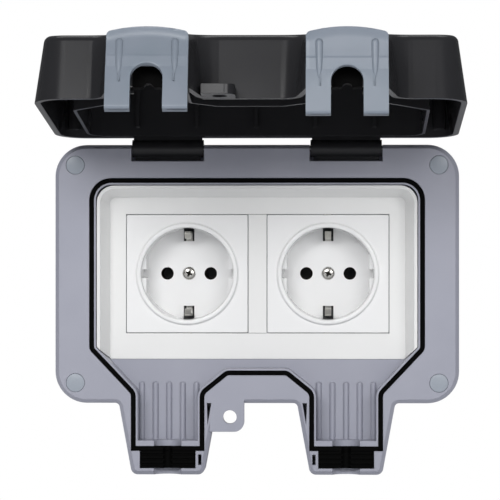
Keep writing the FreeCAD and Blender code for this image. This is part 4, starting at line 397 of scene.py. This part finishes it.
def skin_of(name, finish, body, ease=(0.0, 0.0)):
    """A copy of a CAD node without the faces between its touching blocks."""
    source = nodes[name].data
    shape = bmesh.new()
    shape.from_mesh(source)
    search = BVHTree.FromBMesh(shape)
    inner, kept = [], []
    for face in shape.faces:
        middle = face.calc_center_median()
        spots = [middle] + [middle.lerp(vertex.co, NEAR_CORNER) for vertex in face.verts]
        if all(any(face.normal.dot(normal) < OPPOSITE
                   for place, normal, index, gap in search.find_nearest_range(spot, TOUCH))
               for spot in spots):
            inner.append(face)
        else:
            kept.extend(source.polygons[face.index].loop_indices)
    normals = [source.corner_normals[corner].vector.copy() for corner in kept]
    bmesh.ops.delete(shape, geom=inner, context="FACES")
    low, high = (Vector(corner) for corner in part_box(name))
    smaller = [1.0 - 2 * back * MM / (high[axis] - low[axis])
               for axis, back in zip((0, 2), ease)]
    bmesh.ops.scale(shape, verts=shape.verts, vec=(smaller[0], 1.0, smaller[1]),
                    space=Matrix.Translation(-(low + high) / 2))
    mesh = mesh_of(name + "_skin", shape, finish)
    mesh.shade_smooth()
    mesh.normals_split_custom_set(normals)
    piece_of(name + "_skin", mesh, body, name)
    print(name, "inner faces taken out:", len(inner), "faces left:", len(mesh.polygons))


skin_of("front_frame", grey_abs, "base")
skin_of("lid_shell", lid_abs, "lid")
# The gaps round the covers are hairlines in CAD. The real ones show as clear dark lines.
for tag in ("left", "right"):
    skin_of("socket_cover_" + tag, white_cover, "base", COVER_EASE)
# The earth clips fill their windows in CAD. A real one leaves a dark gap on each side.
for tag in ("left", "right"):
    skin_of("earth_clip_" + tag, spring_brass, "base", CLIP_EASE)

# %% [markdown]
# ## Latches
# Each latch is one moulding: a lever plate with a crowned, flared lip, two legs that hook under the
# frame, and two tapered ribs that stiffen it. A subdivision cage would round the plate everywhere.
# Cutting a flat outline into strips, bending the strips and giving them thickness keeps the crisp
# rim, and needs only a few vertices and bmesh operators. The barrel and the hooks behind the plate
# are right in CAD, so the back half of the CAD latch is kept and the new plate covers it.

# %% Where a latch sits
LATCH_PIVOT = Vector((0.0, -60.2, -86.3))     # with the lid closed, mm
HINGE = Vector((0.0, -46.0, 53.5))
LID_OPEN = -96.0                              # degrees
SWUNG_OUT = {"left": 21.0, "right": 8.0}
LATCH_ACROSS = {"left": -38.0, "right": 38.0}


def turn_about(point, degrees):
    """A turn round an axis along X through a point."""
    return (Matrix.Translation(point) @ Matrix.Rotation(math.radians(degrees), 4, "X")
            @ Matrix.Translation(-point))


def latch_place(side):
    """From a latch on the closed lid's middle to its place on the open lid, mm to m."""
    return (Matrix.Scale(MM, 4) @ turn_about(HINGE, LID_OPEN)
            @ Matrix.Translation((LATCH_ACROSS[side], 0.0, 0.0))
            @ turn_about(LATCH_PIVOT, -SWUNG_OUT[side]))


print("left pivot", [round(v / MM, 2) for v in latch_place("left") @ LATCH_PIVOT])

# %% Latch plate outline
LATCH_HALF = 15.7
LATCH_FOOT = 38.6             # ends of the legs, in front of the wall
LATCH_TIP = 71.85             # middle of the lip
LATCH_CROWN = 2.2             # how much the lip's middle leads its corners
LIP_BEND = (LATCH_HALF ** 2 + LATCH_CROWN ** 2) / (2 * LATCH_CROWN)   # radius of the lip's edge
NOTCH_HALF = 6.2
NOTCH_CENTRE = 51.0
LIP_CORNER = 1.4
STRIP_FROM = 40.0             # where the first cut across the plate lies
STRIP = 1.1
STRIPS = 29
CREASES = (59.9, 60.35)       # cuts where the outer face steps
COLUMN = 2.0
COLUMNS = 7                   # cuts along the plate on each side of its middle
CLOSE = 0.001                 # a cut keeps to vertices that are nearer than this, mm


def last_vertex(spun):
    """Where a spin ended."""
    return next(item for item in spun["geom_last"] if isinstance(item, bmesh.types.BMVert))


def cut(shape, place, across, **options):
    """Cuts a whole shape along a plane."""
    bmesh.ops.bisect_plane(shape, geom=shape.verts[:] + shape.edges[:] + shape.faces[:],
                           dist=CLOSE, plane_co=place, plane_no=across, **options)


def latch_outline():
    """The flat outline of a latch, X across and Y along it, cut into narrow strips."""
    flat = bmesh.new()
    left = flat.verts.new((-NOTCH_HALF, NOTCH_CENTRE, 0.0))
    right = last_vertex(bmesh.ops.spin(flat, geom=[left], cent=(0.0, NOTCH_CENTRE, 0.0),
                                       axis=(0, 0, 1), angle=-math.pi, steps=20))
    corner = flat.verts.new((LATCH_HALF, LATCH_TIP - LATCH_CROWN, 0.0))
    far = last_vertex(bmesh.ops.spin(flat, geom=[corner], cent=(0.0, LATCH_TIP - LIP_BEND, 0.0),
                                     axis=(0, 0, 1), angle=2 * math.asin(LATCH_HALF / LIP_BEND),
                                     steps=18))
    for first, feet, last in ((right, (NOTCH_HALF, LATCH_HALF), corner),
                              (far, (-LATCH_HALF, -NOTCH_HALF), left)):
        chain = [first, *[flat.verts.new((x, LATCH_FOOT, 0.0)) for x in feet], last]
        for pair in zip(chain, chain[1:]):
            flat.edges.new(pair)
    bmesh.ops.bevel(flat, geom=[corner, far], affect="VERTICES", offset=LIP_CORNER, segments=4,
                    profile=0.5, material=-1)
    bmesh.ops.contextual_create(flat, geom=flat.edges[:])
    for depth in [STRIP_FROM + STRIP * k for k in range(STRIPS)] + list(CREASES):
        cut(flat, (0.0, depth, 0.0), (0, 1, 0))
    for k in range(-COLUMNS, COLUMNS + 1):
        cut(flat, (COLUMN * k, 0.0, 0.0), (1, 0, 0))
    return flat


flat = latch_outline()
print("strips and squares:", len(flat.faces))
flat.free()

# %% Bend the plate and give it thickness
PLATE = 1.5                   # the new plate, mm; it overlaps the CAD latch's back half
# The plate's outer face, seen from the side: depth in front of the wall, and height.
FACE_LINE = ((38.6, -87.8), (39.2, -88.2), (40.2, -88.4), (44.0, -88.55), (50.0, -89.05),
             (55.0, -89.75), (59.9, -90.5), (60.35, -90.32), (64.0, -90.5), (68.0, -90.9),
             (72.0, -91.2))
LIP_START = 3.4               # the lip flares over its last millimetres
LIP_FLARE = 1.4
FLARE_POWER = 1.6             # 1 would be a straight ramp
RIM_ANGLE = 60.0              # edges that turn by more degrees are the rim
RIM_ROUND = 0.28


def face_height(depth):
    """Height of the plate's outer face at a depth, by straight steps through FACE_LINE."""
    for (near, low), (far, high) in zip(FACE_LINE, FACE_LINE[1:]):
        if depth <= far:
            return low + (high - low) * (depth - near) / (far - near)
    return FACE_LINE[-1][1]


def bent_plate():
    """The plate in a latch's own place: X across, Y towards the wall, Z up, in mm."""
    plate = latch_outline()
    for vertex in plate.verts:
        across, depth = vertex.co.x, vertex.co.y
        lip = LATCH_TIP - LIP_BEND + math.sqrt(LIP_BEND ** 2 - across ** 2)
        flare = max(0.0, 1.0 - (lip - depth) / LIP_START)
        vertex.co = (across, -depth, face_height(depth) - LIP_FLARE * flare ** FLARE_POWER)
    bmesh.ops.recalc_face_normals(plate, faces=plate.faces)
    if sum(face.normal.z for face in plate.faces) > 0:
        bmesh.ops.reverse_faces(plate, faces=plate.faces)
    back = bmesh.ops.extrude_face_region(plate, geom=plate.faces[:], use_keep_orig=True)
    moved = [item for item in back["geom"] if isinstance(item, bmesh.types.BMVert)]
    bmesh.ops.translate(plate, verts=moved, vec=(0.0, 0.0, PLATE))
    bmesh.ops.recalc_face_normals(plate, faces=plate.faces)
    rim = [edge for edge in plate.edges
           if len(edge.link_faces) == 2 and edge.calc_face_angle() > math.radians(RIM_ANGLE)
           and all(vertex not in moved for vertex in edge.verts)]
    bmesh.ops.bevel(plate, geom=rim, affect="EDGES", offset=RIM_ROUND, segments=2, profile=0.5,
                    material=-1)
    return plate


plate = bent_plate()
print("plate faces:", len(plate.faces), "open edges:",
      sum(1 for edge in plate.edges if edge.is_boundary))
plate.free()

# %% [markdown]
# The ribs are drops: round at the lever's end and drawn out to a narrow tip on the legs. That is a
# ball with one half stretched. A cone would thin too soon; a stretched ball keeps its width longer.

# %% Ribs of a latch
RIB_ACROSS = 10.6
RIB_HEAD = 66.0               # where the round end's centre lies
RIB_POINT = 50.8
RIB_HALF = 1.65
RIB_SUNK = 0.75               # how deep the ball's middle lies in the plate; its tip lies level
RIB_BACK = 0.3                # its hidden half is squashed, so that it stays inside the plate


def add_rib(shape, across):
    """One drop-shaped rib on the plate's face."""
    ball = bmesh.ops.create_uvsphere(shape, u_segments=24, v_segments=24, radius=RIB_HALF)
    for vertex in ball["verts"]:
        side, out, along = vertex.co
        if out > 0.0:
            out *= RIB_BACK
        sunk = RIB_SUNK
        if along > 0.0:
            sunk *= math.sqrt(max(0.0, 1.0 - (along / RIB_HALF) ** 2))
            along *= (RIB_HEAD - RIB_POINT) / RIB_HALF
        depth = RIB_HEAD - along
        vertex.co = (across + side, -depth, face_height(depth) + sunk + out)


trial = bmesh.new()
add_rib(trial, RIB_ACROSS)
print("rib faces:", len(trial.faces))
trial.free()

# %% Assemble the latches
SPLIT = Vector((0.0, -60.2, -89.4))           # middle of the CAD plate's thickness
SPLIT_WAY = Vector((0.0, 2.1, 21.6)).normalized()
HARD_EDGE = 35.0                              # degrees


def latch_piece(side):
    """A latch: the CAD latch's back half with the new plate and ribs in front."""
    name = "latch_" + side
    place = latch_place(side)
    shape = bmesh.new()
    shape.from_mesh(nodes[name].data)
    bmesh.ops.remove_doubles(shape, verts=shape.verts, dist=TOUCH)
    bmesh.ops.transform(shape, matrix=place.inverted(), verts=shape.verts)
    cut(shape, SPLIT, SPLIT_WAY, clear_inner=True)
    bmesh.ops.holes_fill(shape, edges=[edge for edge in shape.edges if edge.is_boundary])
    plate = bent_plate()
    for across in (-RIB_ACROSS, RIB_ACROSS):
        add_rib(plate, across)
    front = mesh_of(name + "_plate", plate, latch_abs)
    shape.from_mesh(front)
    bpy.data.meshes.remove(front)
    bmesh.ops.transform(shape, matrix=place, verts=shape.verts)
    mesh = mesh_of(name + "_moulding", shape, latch_abs)
    if "custom_normal" in mesh.attributes:
        mesh.attributes.remove(mesh.attributes["custom_normal"])
    smooth(mesh, HARD_EDGE)
    piece_of(name + "_moulding", mesh, name, name)
    print(name, len(mesh.polygons), "faces")


for side in ("left", "right"):
    latch_piece(side)

# %% [markdown]
# ## Small forms of the frame
# The ribs in the cable funnels end in a dome, where the moulding tool was cut with a ball cutter.
# The two slots beside each funnel are closed at the back by a thin web, so they look black. Both
# are tiny, so half-sunk balls and extruded outlines do, set on the frame's own walls.

# %% Rib domes and slot webs
FUNNELS = (-38.0, 38.0)       # middle of each funnel, mm
DOME_RADIUS = 1.2
DOME_FLAT = 0.75              # height of a dome against its width
DOME_PITCH = 5.85
DOME_TOP = -47.2
DOME_AXIS = -38.3             # Y of the ribs' centre line, mm
SLOTS = (((-25.05, -81.35), (-23.55, -81.35), (-23.55, -76.85), (-25.05, -76.85)),
         ((-21.0, -64.5), (-19.4, -55.25), (-21.35, -55.25)))
WEB_DEPTH = 36.5
WEB = 1.0

shape = bmesh.new()
for centre in FUNNELS:
    for k in range(-2, 3):
        place = Matrix.Translation((centre + k * DOME_PITCH, DOME_AXIS, DOME_TOP))
        bmesh.ops.create_uvsphere(shape, u_segments=20, v_segments=12, radius=DOME_RADIUS,
                                  matrix=place @ Matrix.Diagonal((1.0, 1.0, DOME_FLAT, 1.0)))
for outline in SLOTS:
    for side in (1, -1):
        rim = [shape.verts.new((side * x, -WEB_DEPTH, z)) for x, z in outline]
        face = shape.faces.new(rim)
        block = bmesh.ops.extrude_face_region(shape, geom=[face], use_keep_orig=True)
        bmesh.ops.translate(shape, vec=(0.0, WEB, 0.0),
                            verts=[v for v in block["geom"] if isinstance(v, bmesh.types.BMVert)])
bmesh.ops.recalc_face_normals(shape, faces=shape.faces)
bmesh.ops.scale(shape, vec=(MM, MM, MM), verts=shape.verts)
mesh = mesh_of("frame_rib_ends", shape, grey_abs)
smooth(mesh, HARD_EDGE)
piece_of("frame_rib_ends", mesh, "base")
print("rib domes and slot webs:", len(mesh.polygons), "faces")

# %% [markdown]
# ## Screw caps
# A round plug hides each of the four screws that hold the frame. It has its own moulding tool, so
# its grey is a little bluer. The rim is rounded, and a fine ring of shade shows round it. A
# cylinder's rim bevelled with three segments is enough.

# %% Screw caps
CAP_RADIUS = 3.9
CAP_THICK = 1.6
CAP_FRONT = -50.15            # Y of the caps' faces, mm
CAP_RIM = 0.22
CAP_CORNERS = ((-1, 1), (1, 1), (-1, -1), (1, -1))   # left or right, upper or lower

shape = bmesh.new()
for side, up in CAP_CORNERS:
    own = [v.co / MM for v in nodes["screw_caps"].data.vertices
           if v.co.x * side > 0 and v.co.z * up > 0]
    middle = [(min(p[axis] for p in own) + max(p[axis] for p in own)) / 2 for axis in (0, 2)]
    place = (Matrix.Translation((middle[0], CAP_FRONT + CAP_THICK / 2, middle[1]))
             @ Matrix.Rotation(math.radians(90.0), 4, "X"))
    bmesh.ops.create_cone(shape, cap_ends=True, segments=56, radius1=CAP_RADIUS,
                          radius2=CAP_RADIUS, depth=CAP_THICK, matrix=place)
rim = [edge for edge in shape.edges if edge.calc_face_angle() > math.radians(RIM_ANGLE)
       and all(v.co.y < CAP_FRONT + CAP_RIM for v in edge.verts)]
bmesh.ops.bevel(shape, geom=rim, affect="EDGES", offset=CAP_RIM, segments=3, profile=0.5,
                material=-1)
bmesh.ops.scale(shape, vec=(MM, MM, MM), verts=shape.verts)
mesh = mesh_of("frame_screw_caps", shape, cap_abs)
smooth(mesh, HARD_EDGE)
piece_of("frame_screw_caps", mesh, "base", "screw_caps")
print("caps:", len(mesh.polygons), "faces")

# %% [markdown]
# ## Cover screws
# Each cover is held by one countersunk screw with a cross recess. Its walls are dark with painted
# shade, while the turned head glitters. The head is spun from its half profile. The recess is cut
# by a boolean, which also hands over the cutter's dark material, painted shade, to the walls that
# it cuts. A second, narrower cross between the arms makes the small notches that this kind of
# recess has.

# %% Screw head and cross
SCREW_ACROSS = 30.25
HEAD_FRONT = -22.9            # Y of the head's top, mm
HEAD_LINE = ((0.0, 0.0), (1.3, 0.05), (2.1, 0.32), (2.55, 0.9), (2.6, 1.5), (1.25, 1.55),
             (1.25, 13.5), (0.0, 13.5))
HEAD_EDGE = 30.0              # degrees
CROSS_TURN = 24.0             # degrees from upright
CROSS_HALF = 1.75
CROSS_WIDE = 0.85
CROSS_DEPTH = 1.1
CROSS_TAPER = 0.7             # width at its bottom against its top
TICK_TURN = CROSS_TURN + 45.0
TICK_HALF = 1.25
TICK_WIDE = 0.3


def add_cross(shape, centre, turn, half, wide):
    """A four-armed cutter in front of the head, narrower at its bottom."""
    for angle in (turn, turn + 90.0):
        place = Matrix.Translation(centre) @ Matrix.Rotation(math.radians(angle), 4, "Y")
        arm = bmesh.ops.create_cube(shape, size=1.0, matrix=place
                                    @ Matrix.Diagonal((2 * half, 2 * CROSS_DEPTH, wide, 1.0)))
        bottom = [v for v in arm["verts"] if v.co.y > centre.y]
        bmesh.ops.scale(shape, verts=bottom, vec=(CROSS_TAPER, 1.0, CROSS_TAPER),
                        space=Matrix.Translation(-centre))


def cover_screw(tag, side):
    """One screw with its recess cut."""
    centre = Vector((side * SCREW_ACROSS, HEAD_FRONT, 0.0))
    head = bmesh.new()
    line = [head.verts.new((centre.x + r, centre.y + y, 0.0)) for r, y in HEAD_LINE]
    edges = [head.edges.new(pair) for pair in zip(line, line[1:])]
    bmesh.ops.spin(head, geom=line + edges, cent=centre, axis=(0, 1, 0),
                   angle=2 * math.pi, steps=36, use_merge=True)
    bmesh.ops.remove_doubles(head, verts=head.verts, dist=CLOSE)
    bmesh.ops.recalc_face_normals(head, faces=head.faces)
    cutter = bmesh.new()
    add_cross(cutter, centre, CROSS_TURN, CROSS_HALF, CROSS_WIDE)
    add_cross(cutter, centre, TICK_TURN, TICK_HALF, TICK_WIDE)
    objects = []
    for name, shape, finish in (("screw_head", head, nickel_screw), ("cross", cutter, recess_painted_shade)):
        bmesh.ops.scale(shape, vec=(MM, MM, MM), verts=shape.verts)
        objects.append(put(name, mesh_of(name, shape, finish)))
    blank, tool = objects
    carve = blank.modifiers.new("carve", "BOOLEAN")
    carve.object = tool
    carve.operation = "DIFFERENCE"
    carve.solver = "EXACT"
    carve.use_self = True
    carve.material_mode = "TRANSFER"
    bpy.context.view_layer.update()
    carved = bpy.data.meshes.new_from_object(
        blank.evaluated_get(bpy.context.evaluated_depsgraph_get()))
    smooth(carved, HEAD_EDGE)
    for made in objects:
        bpy.data.objects.remove(made)
    piece_of("cover_screw_" + tag, carved, "base", "cover_screws")
    print("screw", tag, len(carved.polygons), "faces, finishes:",
          sorted({p.material_index for p in carved.polygons}))


for tag, side in (("left", -1), ("right", 1)):
    cover_screw(tag, side)

# %% [markdown]
# ## Finishes for the CAD pieces
# A CAD node keeps its mesh; only its material changes. One table says which finish each node gets.
# The nodes that a piece stands for get theirs too, so that the table is complete.

# %% Dress the CAD nodes
FINISHES = (
    (box_abs, ("back_box",)),
    (grey_abs, ("front_frame", "screw_caps")),
    (rubber, ("box_gasket", "lid_seal", "gland_left", "gland_right", "lid_gland_left",
              "lid_gland_right")),
    (white_pc, ("inner_bezel", "centre_strip")),
    (white_cover, ("socket_cover_left", "socket_cover_right")),
    (zinc_sheet, ("strap_left", "strap_right")),
    (insert_pa, ("insert_left", "insert_right")),
    (spring_brass, ("earth_clip_left", "earth_clip_right")),
    (brass_oxide_and_shade, ("live_contact_left", "live_contact_right", "neutral_contact_left",
                  "neutral_contact_right")),
    (nickel_screw, ("frame_screws", "cover_screws", "strap_screws", "terminal_screws")),
    (wire_pin, ("hinge_pin_left", "hinge_pin_right", "latch_pin_left", "latch_pin_right")),
    (lid_abs, ("lid_shell",)),
    (latch_abs, ("latch_left", "latch_right")),
)
dressed = set()
for finish, names in FINISHES:
    for name in names:
        mesh = nodes[name].data
        mesh.materials.clear()
        mesh.materials.append(finish)
        dressed.add(name)
print("undressed:", sorted(set(nodes) - dressed))
